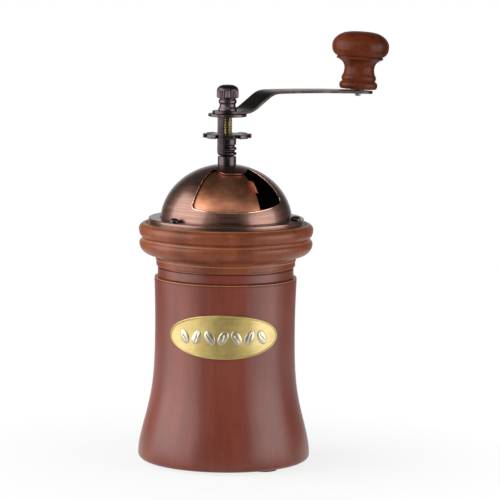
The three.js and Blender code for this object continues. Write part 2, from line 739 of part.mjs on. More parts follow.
// The spindle: a thread and flats for the crank above, a bearing, and flats and a thread for the cone.
function shaft() {
  const top = capTop - THREAD_END_GAP;
  const foot = coneFoot - SHAFT_TAIL;
  const shoulder = bushingFoot - SHOULDER_GAP;
  const bar = turned(
    [
      [0, foot],
      [THREAD_RADIUS - SHAFT_CHAMFER, foot],
      [THREAD_RADIUS, foot + SHAFT_CHAMFER],
      [THREAD_RADIUS, coneFoot],
      [SHAFT_RADIUS, coneFoot],
      [SHAFT_RADIUS, shoulder],
      [THREAD_RADIUS, shoulder + SHAFT_CHAMFER],
      [THREAD_RADIUS, top - SHAFT_CHAMFER],
      [THREAD_RADIUS - SHAFT_CHAMFER, top],
      [0, top],
    ],
    SMALL_SIDES,
  );
  const wide = 2 * SHAFT_RADIUS;
  const cheek = (flat, foot, height) =>
    prism([[flat, -wide], [wide, -wide], [wide, wide], [flat, wide]], foot, height);
  const bothSides = (solid) => solid.add(solid.rotate([0, 0, 180]));
  const crankFlats = bothSides(cheek(TOP_FLAT, plateFoot, capTop));
  const burrFlats = bothSides(cheek(BURR_FLAT, coneFoot, pocketFloor));
  return turnTo(bar.subtract(crankFlats), ARM_BEARING - 90).subtract(burrFlats);
}

// A turned piece whose rings are wrung round with height, with teeth or flutes cut into one side.
function toothed(profile, depthAt) {
  const sides = BURR_TEETH * TOOTH_SAMPLES;
  const geometry = lathe(profile, sides);
  const position = geometry.getAttribute("position");
  const cylindrical = new THREE.Cylindrical();
  const point = new THREE.Vector3();
  for (let i = 0; i < position.count; i += 1) {
    const [x, y, z] = [position.getX(i), position.getY(i), position.getZ(i)];
    cylindrical.set(Math.hypot(x, y), Math.atan2(y, x), z);
    const step = Math.round((cylindrical.theta / (2 * Math.PI) + 0.25) * sides + sides) % sides;
    const radius = cylindrical.radius - depthAt(cylindrical.radius, z, step);
    const angle = cylindrical.theta + radians(TOOTH_TWIST * (z - coneFoot));
    point.set(radius * Math.cos(angle), radius * Math.sin(angle), z);
    position.setXYZ(i, point.x, point.y, point.z);
  }
  return solidOf(geometry);
}

// How far a saw tooth is cut back at a step round the burr, from 0 at its crest to 1.
const sawTooth = (step) => (step % TOOTH_SAMPLES) / (TOOTH_SAMPLES - 1);

function outerBurr() {
  const bandTop = outerBurrFoot + BURR_BAND_HEIGHT;
  const bandRadius = BURR_BAND_RADIUS - BURR_BAND_SLOPE * BURR_BAND_HEIGHT;
  const profile = [
    [BURR_BAND_RADIUS, outerBurrFoot],
    [OUTER_BURR_RADIUS, outerBurrFoot],
    [OUTER_BURR_RADIUS, outerBurrTop],
    [BURR_MOUTH_RADIUS + BURR_MOUTH_CHAMFER, outerBurrTop],
    [BURR_MOUTH_RADIUS, outerBurrTop - BURR_MOUTH_CHAMFER],
    [(bandRadius + BURR_MOUTH_RADIUS) / 2, (bandTop + outerBurrTop) / 2],
    [bandRadius, bandTop],
  ];
  return toothed(profile, (radius, height, step) =>
    radius < OUTER_BURR_RADIUS - HAIR ? -TOOTH_DEPTH * sawTooth(step) : 0,
  );
}

// The cone: fine teeth below, where it grinds, and coarse spiral flutes above, which draw the beans in.
function innerBurr() {
  const slopeAt = (height) =>
    BURR_BAND_RADIUS - GRIND_GAP - BURR_BAND_SLOPE * (height - outerBurrFoot);
  const bandTop = outerBurrFoot + BURR_BAND_HEIGHT;
  const bandRadius = slopeAt(bandTop);
  const shoulder = bandTop + CONE_STEP_HEIGHT;
  const edge = coneFoot + CONE_CHAMFER;
  const inlet = outerBurrFoot + CONE_CHAMFER;
  const middle = (shoulder + coneTop) / 2;
  const bore = SHAFT_RADIUS + SEAT_GAP;
  const profile = [
    [bore, coneFoot],
    [slopeAt(edge) - CONE_CHAMFER, coneFoot],
    [slopeAt(edge), edge],
    [slopeAt(inlet), inlet],
    [bandRadius, bandTop],
    [bandRadius - CONE_STEP, shoulder],
    [(bandRadius + CONE_TOP_RADIUS) / 2 + CONE_SWELL, middle],
    [CONE_TOP_RADIUS, coneTop],
    [SPRING_POCKET_RADIUS, coneTop],
    [SPRING_POCKET_RADIUS, pocketFloor],
    [bore, pocketFloor],
  ];
  const fluteSteps = (BURR_TEETH * TOOTH_SAMPLES) / FEED_FLUTES;
  const flute = (step) => 0.5 - 0.5 * Math.cos((2 * Math.PI * (step % fluteSteps)) / fluteSteps);
  const cone = toothed(profile, (radius, height, step) => {
    if (radius < CONE_TOP_RADIUS - HAIR) return 0;
    if (height < shoulder - HAIR) return TOOTH_DEPTH * sawTooth(step);
    const share = (radius - CONE_TOP_RADIUS) / (bandRadius - CONE_TOP_RADIUS);
    return (FEED_FLUTE_SHARE + share * (1 - FEED_FLUTE_SHARE)) * FEED_FLUTE_DEPTH * flute(step);
  });
  const cheeks = turned(
    [
      [BURR_FLAT, coneFoot + CONE_KEY_DEPTH],
      [bore + CONE_KEY_DEPTH, coneFoot + CONE_KEY_DEPTH],
      [bore + CONE_KEY_DEPTH, pocketFloor],
      [BURR_FLAT, pocketFloor],
    ],
    SMALL_SIDES,
  );
  return cone.add(cheeks.subtract(doubleD(bore + CUT, BURR_FLAT + SEAT_GAP, coneFoot, coneTop)));
}

function burrNut() {
  const top = coneFoot - SEAT_GAP;
  const nut = hexagon(BURR_NUT_FLATS, top - BURR_NUT_HEIGHT, top);
  return nut.subtract(drill(threadHole, top - BURR_NUT_HEIGHT - CUT, top + CUT));
}

// The casting: a flange under the head, a barrel round the burrs and a bearing on three arms.
function burrCarrier() {
  const casting = turned(
    [
      [OUTER_BURR_RADIUS + SEAT_GAP, headFoot - BARREL_LENGTH],
      [BARREL_RADIUS, headFoot - BARREL_LENGTH],
      [BARREL_RADIUS, carrierScrewSeat],
      [CARRIER_FLANGE_RADIUS, carrierScrewSeat],
      [CARRIER_FLANGE_RADIUS, headFoot],
      [LEDGE_RADIUS, headFoot],
      [LEDGE_RADIUS, ledgeHeight],
      [OUTER_BURR_RADIUS + SEAT_GAP, ledgeHeight],
    ],
    WOOD_SIDES,
  );
  const half = SPIDER_ARM_WIDTH / 2;
  const end = -LEDGE_RADIUS - CUT;
  const arm = [[-half, 0], [half, 0], [half, end], [-half, end]];
  const spider = atBearings(prism(arm, carrierScrewSeat, headFoot), SPIDER_BEARINGS);
  const hub = prism(circle(HUB_RADIUS, SMALL_SIDES), hubFoot, headFoot);
  const hole = drill(screwHole, carrierScrewSeat - CUT, headFoot + CUT, SCREW_SIDES);
  return casting
    .add(spider)
    .add(hub)
    .subtract(drill(BUSH_RADIUS + SEAT_GAP, hubFoot - CUT, headFoot + CUT))
    .subtract(atBearings(hole.translate([0, -CARRIER_SCREW_CIRCLE, 0]), CARRIER_SCREW_BEARINGS));
}

function lowerBush() {
  const bore = holeCorner(SHAFT_RADIUS + BEARING_PLAY, SMALL_SIDES);
  return turned(
    [
      [bore, hubFoot],
      [BUSH_RADIUS, hubFoot],
      [BUSH_RADIUS, headFoot],
      [BUSH_FLANGE_RADIUS, headFoot],
      [BUSH_FLANGE_RADIUS, headFoot + BUSH_FLANGE_THICKNESS],
      [bore, headFoot + BUSH_FLANGE_THICKNESS],
    ],
    SMALL_SIDES,
  );
}

function springWasher() {
  const ring = prism(circle(WASHER_RADIUS, SMALL_SIDES), washerFoot, hubFoot);
  return ring.subtract(drill(SHAFT_RADIUS + SEAT_GAP, washerFoot - CUT, hubFoot + CUT));
}

class Helix extends THREE.Curve {
  constructor(radius, turns, foot, top) {
    super();
    Object.assign(this, { radius, turns, foot, top });
  }

  getPoint(share, target = new THREE.Vector3()) {
    const angle = 2 * Math.PI * this.turns * share;
    const height = this.foot + (this.top - this.foot) * share;
    return target.set(this.radius * Math.cos(angle), this.radius * Math.sin(angle), height);
  }
}

function burrSpring() {
  const end = SPRING_WIRE_RADIUS + SEAT_GAP;
  const path = new Helix(SPRING_RADIUS, SPRING_TURNS, pocketFloor + end, washerFoot - end);
  const wire = circle(SPRING_WIRE_RADIUS, 5).map(([x, y]) => new THREE.Vector2(x, y));
  const settings = { steps: SPRING_TURNS * SPRING_STEPS, bevelEnabled: false, extrudePath: path };
  return solidOf(new THREE.ExtrudeGeometry(new THREE.Shape(wire), settings));
}

// Hub with two rings below and a plain collar above, under a disc with a notch for every step.
function adjustingNut() {
  const bore = holeCorner(threadHole, SMALL_SIDES);
  const ringDepth = NUT_RING_RADIUS - NUT_GROOVE_RADIUS;
  const ring = (height) => arc(NUT_GROOVE_RADIUS, height, ringDepth, NUT_RING_HALF, -80, 80, 2);
  const nut = turned(
    [
      [bore, nutFoot],
      [NUT_GROOVE_RADIUS, nutFoot],
      ...ring(nutFoot + NUT_RING_FOOT),
      ...ring(nutFoot + NUT_RING_FOOT + NUT_RING_PITCH),
      [NUT_GROOVE_RADIUS, nutFoot + NUT_COLLAR_FOOT - NUT_COLLAR_CHAMFER],
      [NUT_HUB_RADIUS, nutFoot + NUT_COLLAR_FOOT],
      [NUT_HUB_RADIUS, discFoot],
      [DISC_RADIUS, discFoot],
      [DISC_RADIUS, discTop],
      [bore, discTop],
    ],
    DISC_SIDES,
  );
  const half = LOCK_TAB_WIDTH / 2 + SEAT_GAP;
  const floor = PLATE_RADIUS - LOCK_TAB_THICKNESS - SEAT_GAP;
  const end = DISC_RADIUS + CUT;
  const notch = [[-half, -floor], [half, -floor], [half, -end], [-half, -end]];
  const bearings = Array.from({ length: NOTCH_COUNT }, (_, i) => NOTCH_BEARING + (360 * i) / NOTCH_COUNT);
  return nut.subtract(atBearings(prism(notch, discFoot - CUT, discTop + CUT), bearings));
}

// A disc on the spindle's flats, with one tab bent down through a notch of the adjusting nut.
function lockPlate() {
  const half = LOCK_TAB_WIDTH / 2;
  const foot = discFoot - LOCK_TAB_DROP;
  const face = [
    [half, foot],
    [half, armFoot],
    [-half, armFoot],
    [-half, foot + LOCK_TAB_CHAMFER],
    [LOCK_TAB_CHAMFER - half, foot],
  ];
  const outside = PLATE_RADIUS + LOCK_TAB_STEP;
  const tab = prism(face, PLATE_RADIUS - LOCK_TAB_THICKNESS, outside).rotate([90, 0, 0]);
  const disc = prism(circle(PLATE_RADIUS, DISC_SIDES), plateFoot, armFoot);
  const hole = doubleD(threadHole, TOP_FLAT + SEAT_GAP, plateFoot - CUT, armFoot + CUT);
  return disc.subtract(turnTo(hole, ARM_BEARING - 90)).add(turnTo(tab, NOTCH_BEARING));
}

// The crank's side view: level at the eye, up the slope, then bowed slightly down towards the knob.
const armMiddle = armFoot + ARM_THICKNESS / 2;
const armSecondBend = ARM_FIRST_BEND + ARM_RISE / Math.tan(radians(ARM_SLOPE));
const armBow = Math.tan(radians(ARM_DROOP)) / 2 / (ARM_REACH - armSecondBend);
const armOuterHeight = (out) => armMiddle + ARM_RISE - armBow * (out - armSecondBend) ** 2;
const armEnd = ARM_REACH + ARM_WIDTH / 2;

function crankArm() {
  const corner = (x, y) => new THREE.Vector2(x, y);
  const outer = [1, 2, 3, 4].map((step) => armSecondBend + ((armEnd - armSecondBend) * step) / 4);
  const bends = [
    corner(-ARM_WIDTH / 2, armMiddle),
    corner(ARM_FIRST_BEND, armMiddle),
    corner(armSecondBend, armMiddle + ARM_RISE),
    ...outer.map((out) => corner(out, armOuterHeight(out))),
  ];
  const line = [bends[0]];
  for (const i of [1, 2]) {
    const before = bends[i - 1].clone().sub(bends[i]).setLength(BEND_LENGTH).add(bends[i]);
    const after = bends[i + 1].clone().sub(bends[i]).setLength(BEND_LENGTH).add(bends[i]);
    line.push(...new THREE.QuadraticBezierCurve(before, bends[i], after).getPoints(4));
  }
  line.push(...bends.slice(3));
  const offset = (distance) =>
    line.map((point, i) => {
      const way = line[Math.min(i + 1, line.length - 1)].clone().sub(line[Math.max(i - 1, 0)]).normalize();
      return [point.x - way.y * distance, point.y + way.x * distance];
    });
  const section = [...offset(-ARM_THICKNESS / 2), ...offset(ARM_THICKNESS / 2).reverse()];
  const bar = prism(section, -ARM_WIDTH, ARM_WIDTH).rotate([90, 0, 0]);
  const round = (x, from) => arc(x, 0, ARM_WIDTH / 2, ARM_WIDTH / 2, from, from + 180, 10);
  const plan = prism([...round(0, 90), ...round(ARM_REACH, -90)], armFoot - reach, armTop + reach);
  const eye = doubleD(threadHole, TOP_FLAT + SEAT_GAP, armFoot - CUT, armTop + CUT);
  const pinHole = drill(PIN_TIP_RADIUS + SEAT_GAP, -ARM_THICKNESS, ARM_THICKNESS, SCREW_SIDES)
    .rotate([0, ARM_DROOP, 0])
    .translate([ARM_REACH, 0, armOuterHeight(ARM_REACH)]);
  return turnTo(bar.intersect(plan).subtract(eye).subtract(pinHole), ARM_BEARING - 90);
}

// A blind nut: flared foot, neck, ring and a fluted head with a domed top.
function capNut() {
  const bore = holeCorner(threadHole, SMALL_SIDES);
  const headFootHeight = capTop - CAP_HEAD_HEIGHT;
  const knurlFoot = headFootHeight + CAP_HEAD_CHAMFER;
  const knurlTop = knurlFoot + CAP_KNURL_LENGTH;
  const ringFoot = armTop + CAP_RING_FOOT;
  const profile = [
    [bore, armTop],
    [CAP_FLARE_RADIUS, armTop],
    [CAP_FLARE_RADIUS, armTop + CAP_FLARE_HEIGHT],
    [CAP_NECK_RADIUS, armTop + CAP_NECK_FOOT],
    [CAP_NECK_RADIUS, ringFoot],
    [CAP_RING_RADIUS, ringFoot + CAP_RING_CHAMFER],
    [CAP_RING_RADIUS, ringFoot + CAP_RING_CHAMFER + CAP_RING_WIDTH],
    [CAP_NECK_RADIUS, headFootHeight - CAP_RING_CHAMFER / 2],
    [CAP_HEAD_RADIUS - CAP_HEAD_CHAMFER, headFootHeight],
    [CAP_HEAD_RADIUS, knurlFoot],
    [CAP_HEAD_RADIUS, knurlTop],
    [CAP_HEAD_RADIUS - CAP_CROWN_EASING, knurlTop + CAP_CROWN_SHOULDER],
    [CAP_CROWN_RADIUS, capTop],
    [0, capTop],
    [0, capTop - CAP_WALL],
    [bore, capTop - CAP_WALL],
  ];
  const geometry = lathe(profile, CAP_FLUTES * 2);
  const position = geometry.getAttribute("position");
  for (let i = 0; i < position.count; i += 1) {
    const [x, y, z] = [position.getX(i), position.getY(i), position.getZ(i)];
    const step = Math.round((Math.atan2(y, x) / Math.PI) * CAP_FLUTES + CAP_FLUTES * 4);
    const inHead = z > headFootHeight - HAIR && z < knurlTop + HAIR && Math.hypot(x, y) > CAP_NECK_RADIUS;
    const scale = inHead && step % 2 === 1 ? 1 - CAP_FLUTE_DEPTH / CAP_HEAD_RADIUS : 1;
    position.setXYZ(i, x * scale, y * scale, z);
  }
  return solidOf(geometry);
}

// Knob, pin and bush are turned about the pin's axis, with their origin on the crank's top face.
function knob() {
  const foot = 2 * SEAT_GAP;
  const boreTop = PIN_LENGTH + PIN_HEAD_HEIGHT + PIN_HEAD_ROOM;
  const collar = KNOB_COLLAR_RADIUS - KNOB_COLLAR_ROUND;
  const lipTop = KNOB_LIP_HEIGHT + KNOB_LIP_QUIRK;
  return turned(
    [
      [holeCorner(knobBore, KNOB_SIDES), foot],
      [KNOB_COLLAR_RADIUS - KNOB_COLLAR_CHAMFER, foot],
      ...arc(collar, KNOB_COLLAR_HEIGHT, KNOB_COLLAR_ROUND, KNOB_COLLAR_HALF, -60, 60, 2),
      [KNOB_GROOVE_RADIUS, KNOB_GROOVE_HEIGHT],
      [KNOB_RING_RADIUS, KNOB_RING_HEIGHT],
      [KNOB_WAIST_RADIUS, KNOB_WAIST_HEIGHT],
      [KNOB_FLARE_RADIUS, KNOB_FLARE_HEIGHT],
      [KNOB_THROAT_RADIUS, KNOB_THROAT_HEIGHT],
      [KNOB_LIP_RADIUS - KNOB_LIP_EDGE, KNOB_LIP_HEIGHT - KNOB_LIP_EDGE],
      [KNOB_LIP_RADIUS, KNOB_LIP_HEIGHT + KNOB_LIP_EDGE],
      [KNOB_LIP_RADIUS - KNOB_LIP_EDGE, lipTop],
      ...arc(KNOB_RADIUS - KNOB_UNDERSIDE, KNOB_WIDEST, KNOB_UNDERSIDE, KNOB_WIDEST - lipTop, -70, 0, 3),
      ...arc(0, KNOB_WIDEST, KNOB_RADIUS, KNOB_HEIGHT - KNOB_WIDEST, 15, 90, 6),
      [0, boreTop],
      [holeCorner(knobBore, KNOB_SIDES), boreTop],
    ],
    KNOB_SIDES,
  );
}

function knobPin() {
  const tip = -ARM_THICKNESS - PIN_TIP_LENGTH;
  return turned(
    [
      [0, tip],
      [PIN_TIP_RADIUS, tip],
      [PIN_TIP_RADIUS, SEAT_GAP],
      [PIN_SHOULDER_RADIUS, SEAT_GAP],
      [PIN_SHOULDER_RADIUS, 3 * SEAT_GAP],
      [PIN_RADIUS, 3 * SEAT_GAP],
      [PIN_RADIUS, PIN_LENGTH],
      [PIN_HEAD_RADIUS, PIN_LENGTH],
      [PIN_HEAD_RADIUS, PIN_LENGTH + PIN_HEAD_HEIGHT],
      [0, PIN_LENGTH + PIN_HEAD_HEIGHT],
    ],
    SMALL_SIDES,
  );
}

function knobBush() {
  const foot = 4 * SEAT_GAP;
  const ring = prism(circle(knobBushRadius, SMALL_SIDES), foot, foot + KNOB_BUSH_LENGTH);
  return ring.subtract(drill(pinBore, foot - CUT, foot + KNOB_BUSH_LENGTH + CUT));
}

// The scene graph
const mill = new THREE.Group();
mill.position.z = FOOT_HEIGHT;

function place(name, solid, material, parent = mill) {
  const mesh = new THREE.Mesh(geometryOf(solid), new THREE.MeshStandardMaterial(MATERIALS[material]));
  mesh.name = name;
  parent.add(mesh);
  return mesh;
}

// Copies of one solid round the axis, numbered from 1.
function placeRound(name, solid, material, radius, height, bearings) {
  bearings.forEach((bearing, i) => {
    const mesh = place(`${name}_${i + 1}`, solid, material);
    const [x, y] = along(bearing, radius, 0);
    mesh.position.set(x, y, height);
    mesh.rotation.z = radians(bearing);
  });
}

place("body_shell", bodyShell(), "darkWood");
placeRound("foot", foot(), "rubber", footCircle, 0, FOOT_BEARINGS);
place("badge_plate", badge(), "brass").rotation.z = radians(BADGE_BEARING);

place("neck_ring", neckRing(), "darkWood");
place("head_ring", headRing(), "headWood");
place("hopper_funnel", hopperFunnel(), "tinplate");
place("dome_cover", domeCover(), "copper");
const flangeScrew = screw(SCREW_HEAD_RADIUS, SCREW_HEAD_HEIGHT, FLANGE_SCREW_LENGTH - 1);
placeRound("flange_screw", flangeScrew, "gunmetal", FLANGE_SCREW_CIRCLE, flangeTop, FLANGE_SCREW_BEARINGS);
place("shaft_bushing", shaftBushing(), "gunmetal");
place("bushing_nut", bushingNut(), "steel");
place("shutter", hatch(), "hatchCopper");

place("burr_carrier", burrCarrier(), "castIron");
const carrierScrew = screw(CARRIER_SCREW_HEAD_RADIUS, SCREW_HEAD_HEIGHT, CARRIER_SCREW_LENGTH)
  .rotate([180, 0, 0]);
placeRound(
  "carrier_screw",
  carrierScrew,
  "steel",
  CARRIER_SCREW_CIRCLE,
  carrierScrewSeat,
  CARRIER_SCREW_BEARINGS,
);
place("lower_bush", lowerBush(), "brass");
place("outer_burr", outerBurr(), "steel");

place("adjusting_nut", adjustingNut(), "gunmetal");
place("spring_washer", springWasher(), "steel");
place("burr_spring", burrSpring(), "steel");

place("shaft", shaft(), "brass");
place("inner_burr", innerBurr(), "steel");
place("burr_nut", burrNut(), "steel");
place("lock_plate", lockPlate(), "gunmetal");
place("crank_arm", crankArm(), "gunmetal");
place("cap_nut", capNut(), "gunmetal");

// The knob stands square to the crank's outer part, which droops.
const knobTurn = new THREE.Group();
knobTurn.rotation.z = radians(ARM_BEARING - 90);
mill.add(knobTurn);
const knobSeat = new THREE.Group();
const armTopAtPin = ARM_THICKNESS / 2 / Math.cos(radians(ARM_DROOP));
knobSeat.position.set(ARM_REACH, 0, armOuterHeight(ARM_REACH) + armTopAtPin);
knobSeat.rotation.y = radians(ARM_DROOP);
knobTurn.add(knobSeat);
place("knob_pin", knobPin(), "steel", knobSeat);
place("knob_bush", knobBush(), "brass", knobSeat);
place("knob", knob(), "knobWood", knobSeat);

export default mill;
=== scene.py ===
"""The looks of an upright hand mill for coffee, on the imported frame.

Lengths are millimetres and heights count from the body's underside, as in the part's source. Only the
makers of meshes, lamps and camera turn them into metres, counted from the floor that the feet stand on.
Bearings are degrees about the spindle's axis, from the front (-Y) towards the right (+X).
"""
import math
from math import radians

import bmesh
import bpy
import numpy as np
from mathutils import Matrix, Vector

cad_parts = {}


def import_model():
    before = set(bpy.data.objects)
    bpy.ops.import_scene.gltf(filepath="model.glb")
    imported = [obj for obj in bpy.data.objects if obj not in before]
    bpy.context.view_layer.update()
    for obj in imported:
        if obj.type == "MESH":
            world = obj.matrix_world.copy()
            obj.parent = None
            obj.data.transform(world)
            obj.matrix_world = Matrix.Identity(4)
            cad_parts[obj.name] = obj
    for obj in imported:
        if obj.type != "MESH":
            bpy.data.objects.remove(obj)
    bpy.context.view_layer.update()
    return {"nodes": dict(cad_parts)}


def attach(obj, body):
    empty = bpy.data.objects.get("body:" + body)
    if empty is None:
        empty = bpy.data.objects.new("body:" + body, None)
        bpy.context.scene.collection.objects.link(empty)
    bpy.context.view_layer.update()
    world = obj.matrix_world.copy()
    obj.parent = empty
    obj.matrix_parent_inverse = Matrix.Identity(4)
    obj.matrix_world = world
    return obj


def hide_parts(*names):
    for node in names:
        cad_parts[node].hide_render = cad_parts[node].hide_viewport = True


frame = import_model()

# Driving sizes, most of them as in the part's source

FOOT_HEIGHT = 1.4
FOOT_RADIUS = 7.2
FOOT_REACH = 30.0
FOOT_BEARINGS = (40, 160, 280)

BODY_HEIGHT = 90.0
BASE_RADIUS = 42.2
BASE_EASING = 2.6
WAIST_RADIUS = 34.3
WAIST_HEIGHT = 62.0
FLARE_LENGTH = 24.7
FLARE_POWER = 1.85
SHOULDER_FLARE = 0.65
CUP_RADIUS = 28.0
CUP_FLOOR = 12.0
SOCKET_RADIUS = 30.3
SOCKET_FLOOR = BODY_HEIGHT - 14.0

SPIGOT_RADIUS = SOCKET_RADIUS - 0.3
SPIGOT_FOOT = BODY_HEIGHT - 12.0
NECK_BORE = 26.5
NECK_RADIUS = 33.3
HEAD_FOOT = 95.5
HEAD_TOP = HEAD_FOOT + 21.1
HEAD_RADIUS = 42.7
THROAT_RADIUS = 18.5

# The land is the raised ring on the head that carries the dome's flange
LAND = HEAD_TOP + 1.5
LAND_RADIUS = 36.6
LAND_BORE = 33.3
FLANGE_TOP = LAND + 1.0
LIP_RADIUS = 38.5
DOME_SHEET = 0.9
DOME_CENTRE = LAND - 1.1
DOME_RADIUS = 32.3
DOME_RISE = 28.4
DOME_FLAT = 6.0
DOME_TOP = DOME_CENTRE + DOME_RISE * math.sqrt(1 - (DOME_FLAT / DOME_RADIUS) ** 2)

# Bearings of the opening's and the hatch's left and right edges, which stand off the axis by the offset
WINDOW = (-30.0, 62.5)
HATCH = (-62.0, 31.0)
EDGE_OFFSET = 1.5
SILL = DOME_CENTRE + 7.9
SILL_SLOPE = 0.238
SILL_RADIUS = 31.0
SILL_BEARING = 6.0
WINDOW_HEAD = DOME_CENTRE + 24.5
HATCH_GAP = 0.35
HATCH_SHEET = 0.8

SCREW_BEARINGS = (-45, 75, 195)
SCREW_REACH = 35.1

SPINDLE_RADIUS = 2.5
SPINDLE_FOOT = 68.5
THREAD_PITCH = 0.8
THREAD_DEPTH = 0.5
THREAD_START = 139.0
SLEEVE_FOOT = 139.8
SLEEVE_BORE = 2.62
SLEEVE_TOP = DOME_TOP + 4.4
NUT_BORE = 2.8
NUT_FOOT = SLEEVE_TOP + 0.3
DISC_FOOT = NUT_FOOT + 8.7
DISC_TOP = DISC_FOOT + 2.0
DISC_RADIUS = 11.9
NOTCH_COUNT = 8
NOTCH_FLOOR = 7.6
NOTCH_BEARING = -20.0
PLATE_FOOT = DISC_TOP + 8.4
PLATE_RADIUS = 9.4
ARM_FOOT = PLATE_FOOT + 1.4
ARM_THICKNESS = 1.4
ARM_TOP = ARM_FOOT + ARM_THICKNESS
ARM_WIDTH = 14.8
ARM_BEARING = 124.0
ARM_REACH = 78.3
ARM_DROOP = 3.2
CAP_TOP = ARM_TOP + 12.7

UNDERSIDE = np.array([0.0, 0.0, FOOT_HEIGHT])
# Edges that turn by more degrees are sharp, and points that are fewer metres apart are made one
CREASE = 35.0
MERGE_DISTANCE = 1e-7


# Mesh makers

def along(bearing, out, side=0.0):
    """Plan points that lie out along a bearing, and to the side of it, towards larger bearings.

    x is out times the sine plus side times the cosine, y side times the sine less out times the cosine.
    """
    sine, cosine = np.sin(np.radians(bearing)), np.cos(np.radians(bearing))
    return np.stack([sine * out + cosine * side, sine * side - cosine * out], axis=-1)


def arc(r, z, radius_r, radius_z, start, end, steps):
    """Part of an ellipse: its centre plus each radius times the cosine or the sine of angles in degrees."""
    t = np.radians(np.linspace(start, end, steps + 1))
    return np.column_stack([r + radius_r * np.cos(t), z + radius_z * np.sin(t)])


def circle(radius, count):
    """Points on a circle about the axis: the radius times the cosine and the sine of even angles."""
    t = np.linspace(0, 2 * np.pi, count, endpoint=False)
    return np.column_stack([radius * np.cos(t), radius * np.sin(t)])


def eased(corners, steps=4):
    """A line through [x, y, easing] corners, each rounded over its easing or just under half a side.

    From a, before it, to b, after it: the square of 1 - t times a, twice t (1 - t) times the corner and
    the square of t times b, added up.
    """
    corners = np.array([(*corner, 0.0)[:3] for corner in corners])
    places = corners[:, :2]
    t = np.linspace(0, 1, steps + 1)[:, None]
    line = [places[:1]]
    for before, here, after, easing in zip(places, places[1:], places[2:], corners[1:, 2]):
        if easing == 0:
            line.append(here[None])
            continue
        back, ahead = np.linalg.norm(before - here), np.linalg.norm(after - here)
        reach = min(easing, 0.48 * back, 0.48 * ahead)
        a = here + (before - here) * reach / back
        b = here + (after - here) * reach / ahead
        line.append((1 - t) ** 2 * a + 2 * t * (1 - t) * here + t ** 2 * b)
    return np.vstack(line + [places[-1:]])


def smooth(points, steps=6):
    """A Catmull-Rom line: a cubic on each span, with half the way between a point's neighbours as slope."""
    p = np.asarray(points, float)
    p = np.vstack([2 * p[0] - p[1], p, 2 * p[-1] - p[-2]])
    a, b, c, d = (p[i:len(p) - 3 + i, None] for i in range(4))
    t = np.linspace(0, 1, steps, endpoint=False)[None, :, None]
    curve = 2 * b + (c - a) * t + (2 * a - 5 * b + 4 * c - d) * t ** 2 + (3 * b - a - 3 * c + d) * t ** 3
    return np.vstack([curve.reshape(-1, 2) / 2, p[-2:-1]])


def linked(name, mesh):
    """A new object of the mesh, in the scene."""
    made = bpy.data.objects.new(name, mesh)
    bpy.context.scene.collection.objects.link(made)
    return made


def object_of(name, vertices, faces, crease=CREASE):
    """An object of an array of points and a list of faces, shaded smooth below the crease."""
    mesh = bpy.data.meshes.new(name)
    mesh.from_pydata(((np.asarray(vertices, float).reshape(-1, 3) + UNDERSIDE) / 1000).tolist(), [], faces)
    clean = bmesh.new()
    clean.from_mesh(mesh)
    bmesh.ops.remove_doubles(clean, verts=clean.verts, dist=MERGE_DISTANCE)
    bmesh.ops.recalc_face_normals(clean, faces=clean.faces)
    clean.to_mesh(mesh)
    clean.free()
    mesh.polygons.foreach_set("use_smooth", [True] * len(mesh.polygons))
    mesh.set_sharp_from_angle(angle=radians(crease))
    return linked(name, mesh)


def grid_faces(rows, columns, wrap_rows=False, wrap_columns=False, start=0):
    """Quads between neighbouring points of a grid that is stored row by row."""
    r = np.arange(rows if wrap_rows else rows - 1)
    c = np.arange(columns if wrap_columns else columns - 1)
    i, j = (a.ravel() for a in np.meshgrid(r, c, indexing="ij"))
    i2, j2 = (i + 1) % rows, (j + 1) % columns
    quads = np.column_stack([i * columns + j, i2 * columns + j, i2 * columns + j2, i * columns + j2])
    return (quads + start).tolist()


def lathe(name, profile, sides=128, closed=False, shape=None, crease=CREASE):
    """A profile of [radius, height] points turned about the axis, joined to its own start if closed.

    x and y are the radius times the cosine and the sine of the angle. shape may change the radii.
    """
    r, z = np.repeat(np.asarray(profile, float).T[:, None], sides, axis=1)
    angle = np.linspace(0, 2 * np.pi, sides, endpoint=False)[:, None]
    if shape is not None:
        r = shape(r, z, angle)
    points = np.stack([r * np.cos(angle), r * np.sin(angle), z], axis=-1)
    faces = grid_faces(sides, len(profile), wrap_rows=True, wrap_columns=closed)
    return object_of(name, points, faces, crease)


